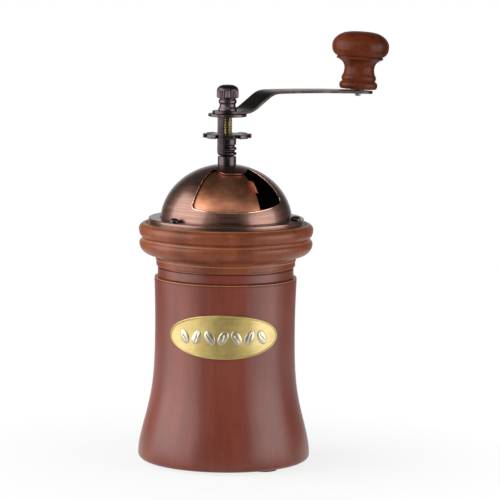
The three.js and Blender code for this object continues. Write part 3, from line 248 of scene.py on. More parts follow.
def prism(name, loops, levels, place=None, crease=CREASE):
    """Closed [x, y] loops, the first outside and the rest holes, carried through (inset, height) levels.

    A level's point is the loop's point less the inset times the normal there, which is the sum of the two
    sides' normals, made longer at sharp corners. The ends are filled with triangles, and place may then
    put the points elsewhere.
    """
    rings, faces, count = [], [], 0
    for loop in loops:
        loop = np.asarray(loop, float)
        ahead, behind = np.roll(loop, -1, axis=0) - loop, loop - np.roll(loop, 1, axis=0)
        ahead /= np.linalg.norm(ahead, axis=1)[:, None]
        behind /= np.linalg.norm(behind, axis=1)[:, None]
        normal = np.column_stack([ahead[:, 1] + behind[:, 1], -ahead[:, 0] - behind[:, 0]])
        normal /= np.maximum((normal ** 2).sum(axis=1) / 2, 0.4)[:, None]
        for inset, height in levels:
            rings.append(np.column_stack([loop - normal * inset, np.full(len(loop), height)]))
        faces += grid_faces(len(levels), len(loop), wrap_columns=True, start=count)
        count += len(loop) * len(levels)
    mesh = bpy.data.meshes.new(name)
    mesh.from_pydata(np.vstack(rings).tolist(), [], faces)
    filled = bmesh.new()
    filled.from_mesh(mesh)
    middle = (levels[0][1] + levels[-1][1]) / 2
    rims = [edge for edge in filled.edges if edge.is_boundary]
    low = [edge for edge in rims if edge.verts[0].co.z < middle]
    high = [edge for edge in rims if edge.verts[0].co.z > middle]
    for rim in (low, high):
        bmesh.ops.triangle_fill(filled, use_beauty=True, edges=rim)
    filled.to_mesh(mesh)
    filled.free()
    points = np.empty(len(mesh.vertices) * 3)
    mesh.vertices.foreach_get("co", points)
    points = points.reshape(-1, 3)
    faces = [face.vertices[:] for face in mesh.polygons]
    bpy.data.meshes.remove(mesh)
    return object_of(name, place(points) if place else points, faces, crease)


def standing(bearing, out, side, shift=0.0):
    """A place for a prism that stands upright on a bearing: its second number is the height.

    out and side say which of its numbers lies along the bearing and which square to it.
    """
    def place(points):
        plan = along(bearing, points[:, out], points[:, side] + shift)
        return np.column_stack([plan, points[:, 1]])

    return place


def joined(name, *parts):
    """The meshes of several objects as one object."""
    mesh = bmesh.new()
    for part in parts:
        mesh.from_mesh(part.data)
        bpy.data.objects.remove(part)
    data = bpy.data.meshes.new(name)
    mesh.to_mesh(data)
    mesh.free()
    return linked(name, data)


def cut(piece, cutter):
    """The piece with the cutter's shape taken away."""
    modifier = piece.modifiers.new("cut", "BOOLEAN")
    modifier.object = cutter
    modifier.operation = "DIFFERENCE"
    modifier.solver = "EXACT"
    bpy.context.view_layer.update()
    evaluated = piece.evaluated_get(bpy.context.evaluated_depsgraph_get())
    mesh = bpy.data.meshes.new_from_object(evaluated)
    piece.modifiers.clear()
    piece.data = mesh
    bpy.data.objects.remove(cutter)
    mesh.set_sharp_from_angle(angle=radians(CREASE))
    return piece


def moved(piece, bearing, out, height=0.0, turn=0.0):
    """The piece turned about the axis, then moved out along the bearing and up, in its mesh."""
    x, y = along(bearing, out) / 1000
    turned = Matrix.Rotation(radians(turn), 4, "Z")
    piece.data.transform(Matrix.Translation((x, y, height / 1000)) @ turned)
    return piece


# Makers of materials

def srgb(code):
    """Linear colour of an sRGB hex code.

    Above 0.04045 it is the power 2.4 of the value plus 0.055, over 1.055; below, the value over 12.92.
    """
    value = np.array([int(code[i:i + 2], 16) for i in (1, 3, 5)]) / 255
    linear = np.where(value > 0.04045, ((value + 0.055) / 1.055) ** 2.4, value / 12.92)
    return (*linear.tolist(), 1.0)


def add(tree, kind, inputs=(), output=0, stops=(), **settings):
    """Adds a shader node with its settings and links, and gives one of its outputs.

    The inputs, listed in the node's order or by name, are values or other nodes' outputs. The stops are
    a colour ramp's pairs of position and colour code.
    """
    made = tree.nodes.new("ShaderNode" + kind)
    for key, value in settings.items():
        setattr(made, key, value)
    for key, value in inputs.items() if isinstance(inputs, dict) else enumerate(inputs):
        if isinstance(value, bpy.types.NodeSocket):
            tree.links.new(value, made.inputs[key])
        else:
            made.inputs[key].default_value = value
    for index, (position, code) in enumerate(stops):
        elements = made.color_ramp.elements
        element = elements[index] if index < len(elements) else elements.new(position)
        element.position = position
        element.color = srgb(code)
    return made.outputs[output]


def mottle(tree, size, detail=2.0, roughness=0.5):
    """Noise on Object coordinates, whose features are size = (x, y, z) millimetres."""
    place = add(tree, "TexCoord", output="Object")
    place = add(tree, "Mapping", {"Vector": place, "Scale": [1000 / length for length in size]})
    inputs = {"Vector": place, "Scale": 1.0, "Detail": detail, "Roughness": roughness}
    return add(tree, "TexNoise", inputs, "Fac")


def weighed(tree, *pairs):
    """The sum of each value times its share."""
    total = 0.0
    for value, share in pairs:
        total = add(tree, "Math", [value, share, total], operation="MULTIPLY_ADD")
    return total


def material(name, **constants):
    """A material, its tree, and its principled shader with the constants on its own inputs."""
    made = bpy.data.materials.new(name)
    made.use_nodes = True
    shader = made.node_tree.nodes["Principled BSDF"]
    for key, value in constants.items():
        shader.inputs[key.replace("_", " ")].default_value = value
    return made, made.node_tree, shader


def connect(tree, shader, **outputs):
    """Links outputs to the shader's inputs of those names."""
    for key, output in outputs.items():
        tree.links.new(output, shader.inputs[key.replace("_", " ")])


def edge_highlight_rings(tree, rings):
    """1 in the middle of each (height, half width) ring, falling evenly to 0 at its sides: the rings where a
    painted highlight lies on a lit edge.
    """
    height = add(tree, "SeparateXYZ", [add(tree, "TexCoord", output="Object")], output=2)
    mask = 0.0
    for level, half in rings:
        away = add(tree, "Math", [height, (level + FOOT_HEIGHT) / 1000], operation="SUBTRACT")
        away = add(tree, "Math", [away], operation="ABSOLUTE")
        ring = add(tree, "MapRange", [away, 0.0, half / 1000, 1.0, 0.0])
        mask = add(tree, "Math", [mask, ring], operation="MAXIMUM")
    return mask


# Beech without its stain, painted on lit edges as their highlight
EDGE_HIGHLIGHT_WOOD = "#c08a60"


def lacquered_wood(name, codes, coat, coat_roughness, figure, roughness, lit_edges=()):
    """Beech turned with its grain upright: broad figure, fibres, clouds and short dark pores.

    Fibres of half a millimetre are drawn two or three times as coarse as real ones, so that they show.
    The lacquer carries the gloss, and the wood under it has hardly any.
    """
    made, tree, shader = material(
        name, Coat_Weight=coat, Coat_Roughness=coat_roughness, Specular_IOR_Level=0.06,
    )
    dark, middle, light = codes
    broad = mottle(tree, (9, 9, 90), detail=3)
    fibre = mottle(tree, (0.5, 0.5, 14), detail=3, roughness=0.6)
    cloud = mottle(tree, (26, 26, 34), detail=1)
    pore = add(tree, "MapRange", [mottle(tree, (0.28, 0.28, 2.6), detail=1), 0.6, 0.72, 0.0, 1.0])
    grain = weighed(tree, (broad, 0.5), (fibre, 0.3), (cloud, 0.2))
    half = 0.11 * figure
    stops = [(0.5 - 0.9 * half, dark), (0.5, middle), (0.5 + half, light)]
    colour = add(tree, "ValToRGB", [grain], stops=stops)
    stained = add(tree, "Math", [pore, 0.4], operation="MULTIPLY")
    colour = add(tree, "Mix", {0: stained, 6: colour, 7: srgb(dark)}, 2, data_type="RGBA")
    # Painted highlight: on the lit edges' rings the colour turns to pale bare beech, broken by the fibres
    if lit_edges:
        edge_highlight = add(tree, "MapRange", [fibre, 0.3, 0.7, 0.35, 0.8])
        edge_highlight = add(tree, "Math", [edge_highlight_rings(tree, lit_edges), edge_highlight], operation="MULTIPLY")
        colour = add(tree, "Mix", {0: edge_highlight, 6: colour, 7: srgb(EDGE_HIGHLIGHT_WOOD)}, 2, data_type="RGBA")
    height = weighed(tree, (fibre, 0.5), (pore, -1.0))
    connect(
        tree, shader, Base_Color=colour,
        Roughness=add(tree, "MapRange", [fibre, 0.3, 0.7, roughness - 0.05, roughness + 0.07]),
        Normal=add(tree, "Bump", {"Height": height, "Strength": 0.35, "Distance": 0.02 / 1000}),
    )
    return made


def plated(name, codes, roughness, spun=True, patina=0.35, pitch=0.16, lacquer=0.0):
    """A metal finish on sheet or bar: fine rings about the axis, a cloudy patina and clear lacquer.

    Real rings are about 0.05 mm apart, too fine to show, and are drawn as coarse as the pitch. Where
    nothing is spun, fine specks take their place.
    """
    made, tree, shader = material(name, Metallic=1.0, Coat_Weight=lacquer, Coat_Roughness=0.14)
    dark, middle, light = codes
    place = add(tree, "TexCoord", output="Object")
    x, y, z = (add(tree, "SeparateXYZ", [place], axis) for axis in range(3))
    across = add(tree, "VectorMath", [add(tree, "CombineXYZ", [x, y])], "Value", operation="LENGTH")
    turn = add(tree, "Math", [y, x], operation="ARCTAN2")
    rings = add(tree, "CombineXYZ", [across, z, turn])
    rings = add(tree, "VectorMath", [rings, (1000 / pitch, 1000 / pitch, 1.6)], operation="MULTIPLY")
    inputs = {"Vector": rings, "Scale": 1.0, "Detail": 2.0, "Roughness": 0.6}
    line = add(tree, "TexNoise", inputs, "Fac")
    cloud = mottle(tree, (11, 11, 11), detail=4, roughness=0.6)
    speck = mottle(tree, (0.7, 0.7, 0.7))
    tone = weighed(tree, (cloud, 1 - patina), (line, patina))
    height = weighed(tree, (line if spun else speck, 1.0), (speck, 0.25))
    rough = weighed(tree, (cloud, 0.6), (line, 0.4))
    connect(
        tree, shader,
        Base_Color=add(tree, "ValToRGB", [tone], stops=[(0.36, dark), (0.5, middle), (0.64, light)]),
        Roughness=add(tree, "MapRange", [rough, 0.3, 0.7, roughness - 0.06, roughness + 0.08]),
        Normal=add(tree, "Bump", {"Height": height, "Strength": 0.5, "Distance": 0.004 / 1000}),
    )
    return made


def brass_with_painted_thread_shade(name, root, crest):
    """Turned brass, with painted shade in the roots of its thread.

    The share of a turn is the part after the point of the height over the pitch less the angle over a
    whole turn, and the root is where that share nears 0 or 1.
    """
    made, tree, shader = material(name, Metallic=1.0)
    place = add(tree, "TexCoord", output="Object")
    x, y, z = (add(tree, "SeparateXYZ", [place], axis) for axis in range(3))
    height = add(tree, "Math", [z, 1000.0, -FOOT_HEIGHT], operation="MULTIPLY_ADD")
    turn = add(tree, "Math", [y, x], operation="ARCTAN2")
    share = weighed(tree, (height, 1 / THREAD_PITCH), (turn, -0.5 / math.pi))
    share = add(tree, "Math", [share], operation="FRACT")
    # Painted shade: the farther from the crest, the darker, down to the root's colour
    away = add(tree, "Math", [add(tree, "Math", [share, 0.5], operation="SUBTRACT")], operation="ABSOLUTE")
    on_thread = add(tree, "Math", [height, THREAD_START], operation="GREATER_THAN")
    away = add(tree, "Math", [away, on_thread], operation="MULTIPLY")
    stain = mottle(tree, (0.6, 0.6, 0.6), detail=3)
    tone = weighed(tree, (away, 1.6), (stain, 0.3))
    connect(
        tree, shader,
        Base_Color=add(tree, "ValToRGB", [tone], stops=[(0.4, crest), (0.85, root)]),
        Roughness=add(tree, "MapRange", [stain, 0.3, 0.7, 0.22, 0.36]),
        Normal=add(tree, "Bump", {"Height": stain, "Strength": 0.3, "Distance": 0.01 / 1000}),
    )
    return made


def grained(name, codes, grain_size, roughness, depth, strength, detail=2.0, blend=0.5, **constants):
    """A dull surface with an even grain, which its colour, its roughness and its bumps follow."""
    made, tree, shader = material(name, **constants)
    grain = mottle(tree, (grain_size, grain_size, grain_size), detail, blend)
    dark, light = codes
    connect(
        tree, shader,
        Base_Color=add(tree, "ValToRGB", [grain], stops=[(0.3, dark), (0.7, light)]),
        Roughness=add(tree, "MapRange", [grain, 0.3, 0.7, *roughness]),
        Normal=add(tree, "Bump", {"Height": grain, "Strength": strength, "Distance": depth / 1000}),
    )
    return made


# Materials

# Beech, turned, stained red-brown and sprayed satin: an even colour and wide soft highlights, with paler
# lines painted on the body's rim and the neck's top as their highlight
BODY_WOOD = lacquered_wood(
    "stained_beech_satin", ("#642c1e", "#6f3223", "#793929"), coat=0.68, coat_roughness=0.36,
    figure=0.9, roughness=0.4, lit_edges=[(BODY_HEIGHT - 0.15, 0.3), (HEAD_FOOT - 0.3, 0.3)],
)
# The same with a lighter, more orange stain, and paler lines painted on the beads and the fillet under them
# as their highlight
HEAD_WOOD = lacquered_wood(
    "light_stained_beech_satin", ("#6c341d", "#7b3e25", "#86492c"), coat=0.42, coat_roughness=0.34,
    figure=0.9, roughness=0.4,
    lit_edges=[(HEAD_FOOT + 13.1, 0.45), (HEAD_FOOT + 20.9, 0.3), (HEAD_FOOT + 3.2, 0.5)],
)
# The same with a deep brown stain and less lacquer, so that the knob is dark and mild in its shine
KNOB_WOOD = lacquered_wood(
    "dark_stained_beech_satin", ("#42180b", "#562410", "#692f18"), coat=0.16, coat_roughness=0.36,
    figure=0.8, roughness=0.42,
)
# Pressed steel sheet, copper-plated, browned, brushed in rings and lacquered: dusky pink with a sheen
COPPER = plated(
    "antique_copper_spun", ("#5e4036", "#735347", "#876358"), 0.36, patina=0.7, pitch=0.35, lacquer=0.45,
)
# The same plating, painted lighter and more orange on the hatch: painted light for the front lamp that the
# hatch mirrors
HATCH_COPPER_LIT = plated(
    "antique_copper_hatch_painted_light", ("#8e5a42", "#ab7053", "#c48766"), 0.42, patina=0.3, pitch=0.35, lacquer=0.2,
)
# The same plating, painted lighter on the opening's rolled edge as its highlight: a thin bright line
EDGE_COPPER_HIGHLIGHT = plated("copper_rolled_edge_painted_highlight", ("#a87a6a", "#c29583", "#dab4a5"), 0.2, spun=False, lacquer=0.5)
# Turned or pressed steel, plated black-brown: dark, with soft purplish highlights
GUNMETAL = plated(
    "antique_plating_dark", ("#342c2c", "#463b3e", "#5c5053"), 0.36, patina=0.5, lacquer=0.25,
)
# The same plating on bent strip: nearly black on its face
ARM_PLATING = plated("antique_plating_brushed_strip", ("#211917", "#332a28", "#4e433f"), 0.3, spun=False)
# Brass, threaded in a lathe: pale bright crests and painted shade in the roots
THREAD_BRASS_SHADED = brass_with_painted_thread_shade("turned_brass", "#3a3323", "#c9bd95")
# Brass bushes, turned: pale yellow and smooth
BRASS = plated("turned_brass_plain", ("#8b8058", "#b0a578", "#d2caa4"), 0.28)
# Small steel parts, zinc-plated: light grey and bright
STEEL = plated("zinc_plated_steel", ("#7d7f81", "#a0a2a4", "#c4c6c8"), 0.3)
# Hardened steel, ground: a darker grey with fine lines
BURR_STEEL = plated("hardened_steel_ground", ("#57585a", "#77797b", "#9c9ea0"), 0.34)
# Tinplate, spun to a funnel: whitish and bright
TINPLATE = plated("spun_tinplate", ("#8d8f90", "#a9abac", "#c6c8c8"), 0.3)
# Brass sheet, pressed, brushed and lacquered: an even greenish yellow
BADGE_FIELD = plated("brushed_brass_badge", ("#9f8a55", "#b39e61", "#c7b277"), 0.5, spun=False, lacquer=0.6)
# The badge's raised motif, nickel-plated: silvery, against the yellow
BADGE_RELIEF = plated("badge_relief_nickel", ("#9c957f", "#b4ac96", "#cbc4b1"), 0.36, spun=False)
# Rubber, moulded: nearly black and dull
RUBBER = grained(
    "moulded_rubber", ("#141313", "#242222"), 0.25, (0.7, 0.85), 0.03, 0.5, Specular_IOR_Level=0.4,
)
# Grey iron, cast in sand and left so: dark, dull and rough
CASTING = grained(
    "grey_casting", ("#3c3d3e", "#5c5d5f"), 0.5, (0.5, 0.7), 0.08, 0.6, detail=4, blend=0.65, Metallic=0.85,
)


def dressed(piece, finish, body, slot, *nodes):
    """Gives a piece its material and its body, and hides the nodes that it stands for. The slot is not used.
    """
    piece.data.materials.append(finish)
    weighted = piece.modifiers.new("weighted", "WEIGHTED_NORMAL")
    weighted.keep_sharp = True
    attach(piece, body)
    if nodes:
        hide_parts(*nodes)


# Wooden body, feet and rings

def body_radius(height):
    """The body's outer radius: the waist's, plus a bell towards the base, plus a little near the top.

    The bell is e to the power of minus a power of the height over the flare's length, and the addition
    grows with the square of the height's share from the waist to the rim.
    """
    bell = np.exp(-((np.maximum(height - BASE_EASING, 0) / FLARE_LENGTH) ** FLARE_POWER))
    rise = np.maximum(height - WAIST_HEIGHT, 0) / (BODY_HEIGHT - WAIST_HEIGHT)
    return WAIST_RADIUS + (BASE_RADIUS - WAIST_RADIUS) * bell + SHOULDER_FLARE * rise ** 2


def body():
    """A turned cup with an eased base, a waisted side, a fine groove under its rim, a socket and a bore."""
    groove, depth = BODY_HEIGHT - 0.8, 0.3
    levels = np.linspace(BASE_EASING, groove - 0.3, 66)[1:]
    rim = body_radius(groove)
    profile = np.vstack([
        [[0, 0], [FOOT_REACH, 0]],
        arc(BASE_RADIUS - BASE_EASING, BASE_EASING, BASE_EASING, BASE_EASING, -90, 0, 8),
        np.column_stack([body_radius(levels), levels]),
        eased([
            [rim, groove - 0.2], [rim - depth, groove - 0.15, 0.1], [rim - depth, groove + 0.1, 0.1],
            [rim - 0.05, groove + 0.2, 0.1], [rim - 0.05, BODY_HEIGHT, 0.45], [rim - 0.4, BODY_HEIGHT],
        ]),
        eased([
            [rim - 0.5, BODY_HEIGHT], [SOCKET_RADIUS + 0.2, BODY_HEIGHT, 0.5],
            [SOCKET_RADIUS, SOCKET_FLOOR, 0.3], [CUP_RADIUS, SOCKET_FLOOR, 0.4],
            [CUP_RADIUS, CUP_FLOOR, 4], [0, CUP_FLOOR],
        ], steps=5)[1:],
    ])
    return lathe("body", profile, sides=192)


def foot_pad(name, bearing):
    """A round pad with eased edges, set out under the body."""
    pad = lathe(name, eased([
        [0, 0], [FOOT_RADIUS, 0, 0.1], [FOOT_RADIUS, -FOOT_HEIGHT, 0.35], [0, -FOOT_HEIGHT],
    ]), sides=48)
    return moved(pad, bearing, FOOT_REACH)


def neck():
    """A ring with a spigot below it, and a rebate under the head's foot."""
    rebate = 1.1
    return lathe("neck", eased([
        [NECK_BORE, SPIGOT_FOOT], [SPIGOT_RADIUS, SPIGOT_FOOT, 0.6], [SPIGOT_RADIUS, BODY_HEIGHT, 0.02],
        [NECK_RADIUS, BODY_HEIGHT, 0.9], [NECK_RADIUS, HEAD_FOOT - 0.9, 0.3],
        [NECK_RADIUS - rebate, HEAD_FOOT - 0.7, 0.1], [NECK_RADIUS - rebate, HEAD_FOOT, 0.1],
        [NECK_BORE, HEAD_FOOT, 0.3], [NECK_BORE, SPIGOT_FOOT],
    ]), sides=160)


def head():
    """A turned ring: a small fillet, a cove, two beads, the recess for the lip, the land and a cone."""
    lower_bead, upper_bead, groove = HEAD_FOOT + 11.2, HEAD_FOOT + 18.2, HEAD_FOOT + 13.9
    bead_foot, cone_foot = HEAD_FOOT + 5.4, HEAD_FOOT + 5.7
    foot_radius, edge, bead, top_bead = 34.05, 0.6, 1.7, 3.5
    recess_radius, recess_floor, step = LIP_RADIUS + 0.3, LAND - 2.5, LAND - 0.8
    profile = np.vstack([
        [[THROAT_RADIUS, HEAD_FOOT], [30, HEAD_FOOT]],
        arc(foot_radius - edge, HEAD_FOOT + edge, edge, edge, -90, 0, 4),
        eased([
            [foot_radius, HEAD_FOOT + 2.9], [34.5, HEAD_FOOT + 3.2, 0.15], [34.2, HEAD_FOOT + 4.3, 0.6],
            [35.2, bead_foot - 0.1, 0.5], [35.5, bead_foot],
        ]),
        arc(35.6, lower_bead, 6.8, lower_bead - bead_foot, -90, 0, 16),
        arc(40.7, lower_bead, bead, 2.0, 8, 82, 8),
        [[40.75, groove - 0.3], [40.7, groove + 0.1]],
        arc(40.7, upper_bead, 2.0, upper_bead - groove - 0.4, -82, 0, 9),
        arc(HEAD_RADIUS - top_bead, upper_bead, top_bead, HEAD_TOP - upper_bead, 10, 90, 10),
        eased([
            [39.15, HEAD_TOP], [recess_radius, HEAD_TOP - 0.4, 0.2], [recess_radius, recess_floor],
            [LAND_RADIUS, recess_floor], [LAND_RADIUS, LAND], [LAND_BORE, LAND], [LAND_BORE, step],
            [31.9, step], [THROAT_RADIUS, cone_foot, 0.5], [THROAT_RADIUS, HEAD_FOOT],
        ]),
    ])
    return lathe("head", profile, sides=192, closed=True)


dressed(body(), BODY_WOOD, "base", "dark_wood", "body_shell")
for index, bearing in enumerate(FOOT_BEARINGS, 1):
    dressed(foot_pad(f"foot_pad_{index}", bearing), RUBBER, "base", "rubber", f"foot_{index}")
dressed(neck(), BODY_WOOD, "head", "dark_wood", "neck_ring")
dressed(head(), HEAD_WOOD, "head", "head_wood", "head_ring")


# Dome, hatch, screws, funnel and sleeve

# The opening is punched larger by half the sheet, which its rolled rim then fills
RIM_RADIUS = DOME_SHEET / 2
RIM_OFFSET = EDGE_OFFSET + RIM_RADIUS
WINDOW_SHARES = 0.5 - 0.5 * np.cos(np.linspace(0, np.pi, 96))


def dome_line(inset, start, end, steps):
    """Points of the dome's ellipse drawn in by inset, between two radii."""
    radius = DOME_RADIUS - inset
    angles = [math.degrees(math.acos(reach / radius)) for reach in (start, end)]
    return arc(0, DOME_CENTRE, radius, DOME_RISE - inset, *angles, steps)


def dome_reach(heights, inset):
    """The ellipse's distance from the axis: its radius times the root of 1 less its rise's share squared."""
    share = (heights - DOME_CENTRE) / (DOME_RISE - inset)
    return (DOME_RADIUS - inset) * np.sqrt(1 - share ** 2)


def window_lines(outs):
    """Points of the punched opening's sill and head, at their two rows of distances from the axis.

    They run from left to right. The sill rises with its slope times the drop, which is the sill's radius
    less the distance towards its lowest bearing. The head rises by 1.6 times 1 less e to the power of
    minus the fourth power of the bearing's share. Each corner is a quarter of an ellipse.
    """
    t = WINDOW_SHARES
    bearing = WINDOW[0] + t * (WINDOW[1] - WINDOW[0])
    side = RIM_OFFSET * (2 * t - 1)

    def corner(share, radius):
        ends = np.minimum(t, 1 - t)
        return radius * (1 - np.sqrt(1 - np.clip(1 - ends / share, 0, 1) ** 2))

    sill_out, head_out = outs
    drop = SILL_RADIUS - sill_out * np.cos(np.radians(bearing - SILL_BEARING))
    bow = 1.6 * (1 - np.exp(-(((bearing - 15) / 28) ** 4)))
    sill = SILL + SILL_SLOPE * drop - RIM_RADIUS + corner(0.05, 2.2)
    top = WINDOW_HEAD + bow + RIM_RADIUS - corner(0.06, 1.2)
    return [
        np.column_stack([along(bearing, out, side), heights])
        for out, heights in ((sill_out, sill), (head_out, top))
    ]


def window_cutter():
    """The opening, ruled outwards from well inside the dome to well outside it."""
    inside, outside = 5.0, 50.0
    near, far = (window_lines(np.full((2, len(WINDOW_SHARES)), out)) for out in (inside, outside))
    points = np.stack([near[0], near[1], far[1], far[0]], axis=1)
    last = 4 * len(points) - 1
    faces = grid_faces(len(points), 4, wrap_columns=True)
    faces += [[0, 1, 2, 3], [last, last - 1, last - 2, last - 3]]
    return object_of("punch", points, faces)


def dome():
    """A pressed cover: stepped lip, flange, shell of one thickness, flat crown with its hole, opening."""
    inner, lip, bore = DOME_RADIUS - DOME_SHEET, LIP_RADIUS, 3.8
    profile = np.vstack([
        eased([
            [lip - DOME_SHEET, LAND - 2.2], [lip, LAND - 2.2, 0.2], [lip - 0.05, LAND - 1.55, 0.2],
            [lip - 0.5, LAND - 1.35, 0.2], [lip - 0.35, LAND - 0.3, 0.6], [lip - 0.45, FLANGE_TOP, 0.9],
            [34.2, FLANGE_TOP - 0.05, 0.3], [33.2, FLANGE_TOP - 0.12, 0.2], [32.6, FLANGE_TOP],
        ], steps=6),
        dome_line(0, DOME_RADIUS - 0.06, DOME_FLAT, 72),
        [[bore, DOME_TOP], [bore, DOME_TOP - DOME_SHEET], [DOME_FLAT, DOME_TOP - DOME_SHEET]],
        dome_line(DOME_SHEET, DOME_FLAT + 0.5, inner - 0.05, 60),
        [[inner, LAND], [lip - 1.3, LAND]],
    ])
    return cut(lathe("dome", profile, sides=256, closed=True), window_cutter())


def window_side(low, high, bearing, offset):
    """An upright edge of the opening, in the middle of the sheet, between two heights."""
    heights = np.linspace(low, high, 26)[1:-1]
    out = np.sqrt(dome_reach(heights, RIM_RADIUS) ** 2 - offset ** 2)
    return np.column_stack([along(bearing, out, offset), heights])


def rolled_bar(name, path, radius, sides=12):
    """A round bar along a closed path on the dome.

    A point is the path's, plus the radius times the cosine of an angle along the normal and its sine
    across; the normal points from the dome's centre, less its share along the path.
    """
    way = np.roll(path, -1, axis=0) - np.roll(path, 1, axis=0)
    way /= np.linalg.norm(way, axis=1)[:, None]
    normal = path - [0, 0, DOME_CENTRE]
    normal -= way * (normal * way).sum(axis=1)[:, None]
    normal /= np.linalg.norm(normal, axis=1)[:, None]
    across = np.cross(way, normal)
    t = np.linspace(0, 2 * np.pi, sides, endpoint=False)
    ring = normal[:, None] * np.cos(t)[None, :, None] + across[:, None] * np.sin(t)[None, :, None]
    points = path[:, None] + radius * ring
    faces = grid_faces(len(path), sides, wrap_rows=True, wrap_columns=True)
    return object_of(name, points, faces, crease=80)


def window_rim():
    """The rolled edge of the opening: a bar as thick as the sheet, in the middle of the sheet.

    Its heights and its distances from the axis hang on each other, and are worked out in turn.
    """
    outs = np.full((2, len(WINDOW_SHARES)), 25.0)
    side = RIM_OFFSET * (2 * WINDOW_SHARES - 1)
    for _ in range(12):
        heights = np.array([line[:, 2] for line in window_lines(outs)])
        outs = np.sqrt(dome_reach(heights, RIM_RADIUS) ** 2 - side ** 2)
    sill, top = window_lines(outs)
    right = window_side(sill[-1, 2], top[-1, 2], WINDOW[1], RIM_OFFSET)
    left = window_side(top[0, 2], sill[0, 2], WINDOW[0], -RIM_OFFSET)
    return rolled_bar("window_rim", np.vstack([sill, right, top[::-1], left]), RIM_RADIUS)


def hatch_leaf(inset):
    """The hatch's sheet: its section on the dome's ellipse, carried from its left to its right bearing."""
    rows = 64
    outer = dome_line(inset, 31.0, 7.5, rows)
    inner = dome_line(inset + HATCH_SHEET, 30.2, 7.5, rows)
    r, z = np.vstack([outer, inner[::-1]]).T
    shares = np.linspace(0, 1, 48)[:, None]
    stray = np.degrees(np.arcsin(EDGE_OFFSET / r))
    plan = along(HATCH[0] - stray + (HATCH[1] - HATCH[0] + 2 * stray) * shares, r)
    heights = np.broadcast_to(z, plan.shape[:2])
    points = np.concatenate([plan, heights[..., None]], axis=-1)
    i = np.arange(rows)
    edge = np.column_stack([i, i + 1, len(r) - 2 - i, len(r) - 1 - i])
    faces = grid_faces(len(shares), len(r), wrap_columns=True)
    faces += edge.tolist() + (edge + (len(shares) - 1) * len(r)).tolist()
    return object_of("leaf", points, faces)


def hatch():
    """A sheet in the dome's shape, with its eye round the sleeve and the finger tab on its right edge."""
    inset = DOME_SHEET + HATCH_GAP
    crown, bore, eye_radius = DOME_TOP - inset, 3.8, 7.9
    eye = lathe("eye", eased([
        [bore, crown], [eye_radius, crown - 0.05, 0.1], [eye_radius, crown - HATCH_SHEET, 0.1],
        [bore, crown - HATCH_SHEET], [bore, crown],
    ]), sides=64)
    heights = np.linspace(SILL + 8.8, SILL + 14.0, 9)
    front, back = (dome_reach(heights, depth) for depth in (-1.3, inset + HATCH_SHEET / 2))
    outline = np.column_stack([np.append(front, back[::-1]), np.append(heights, heights[::-1])])
    levels = [(0.15, 0), (0, 0.15), (0, 0.65), (0.15, HATCH_SHEET)]
    place = standing(HATCH[1], out=0, side=2, shift=EDGE_OFFSET - HATCH_SHEET)
    return joined("hatch", hatch_leaf(inset), eye, prism("tab", [outline], levels, place))


def pan_screw(name, bearing):
    """A pan-head screw with a cross cut into its head, through the flange."""
    screw = lathe(name, eased([
        [0, -8], [0.5, -8], [1.2, -6.5], [1.2, 0], [2.35, 0, 0.12], [2.35, 1.0, 0.6], [1.6, 2.0, 0.6],
        [0, 2.2],
    ], steps=5), sides=48)
    half, reach = 0.28, 1.25
    quarter = np.array([[half, reach], [-half, reach], [-half, half]])
    turns = [np.linalg.matrix_power([[0, 1], [-1, 0]], count) for count in range(4)]
    cross = np.vstack([quarter @ turn for turn in turns])
    screw = cut(screw, prism("cross", [cross], [(0.12, 1.0), (0, 3.0)]))
    return moved(screw, bearing, SCREW_REACH, FLANGE_TOP, turn=bearing + 20)


def funnel():
    """A spun sheet cone with a collar round the burrs and a rim under the dome's flange."""
    foot, rim = 96.5, LAND - 0.8
    return lathe("funnel", eased([
        [17.5, foot], [17.5, 101.8, 0.8], [30.9, rim, 0.5], [33, rim, 0.1], [33, LAND, 0.1],
        [31.2, LAND, 0.6], [16.7, 101.5, 0.8], [16.7, foot], [17.5, foot],
    ]), sides=128)


def sleeve():
    """A bored sleeve that stands on the crown with its wider collar."""
    shank, collar = 3.45, 4.5
    return lathe("sleeve", eased([
        [SLEEVE_BORE, SLEEVE_FOOT], [shank, SLEEVE_FOOT, 0.1], [shank, DOME_TOP, 0.05],
        [collar, DOME_TOP, 0.12], [collar, SLEEVE_TOP, 0.45], [SLEEVE_BORE, SLEEVE_TOP, 0.1],
        [SLEEVE_BORE, SLEEVE_FOOT],
    ]), sides=64)


dressed(dome(), COPPER, "head", "antique_copper", "dome_cover")
# The rim is drawn in lighter copper, a painted highlight
dressed(window_rim(), EDGE_COPPER_HIGHLIGHT, "head", "antique_copper")
dressed(hatch(), HATCH_COPPER_LIT, "hatch", "hatch_copper", "shutter")
for index, bearing in enumerate(SCREW_BEARINGS, 1):
    dressed(pan_screw(f"pan_screw_{index}", bearing), GUNMETAL, "head", "gunmetal", f"flange_screw_{index}")
dressed(funnel(), TINPLATE, "head", "tinplate", "hopper_funnel")
dressed(sleeve(), GUNMETAL, "head", "gunmetal", "shaft_bushing")


# Spindle and what turns with it

def spindle():
    """A plain bar below, and above its shoulder a thread.

    There the radius loses the depth times twice the distance of a share from a half. The share is the
    part after the point of the height over the pitch less the angle over a whole turn.
    """
    heights = np.arange(THREAD_START, CAP_TOP - 2.4, THREAD_PITCH / 8)
    profile = np.vstack([
        eased([
            [0, SPINDLE_FOOT], [2.5, SPINDLE_FOOT, 0.4], [2.5, 75], [3, 75], [3, THREAD_START - 1, 0.2],
            [2.45, THREAD_START - 0.5],
        ]),
        np.column_stack([np.full(len(heights), SPINDLE_RADIUS), heights]),
        [[0, CAP_TOP - 2.0]],
    ])

    def thread(r, z, angle):
        wave = np.abs(((z / THREAD_PITCH - angle / (2 * np.pi)) % 1) - 0.5) * 2
        on = (z >= THREAD_START) & (z < CAP_TOP - 2.2) & (r > 1)
        return np.where(on, r - THREAD_DEPTH * wave, r)

    return lathe("spindle_bar", profile, sides=64, shape=thread, crease=60)


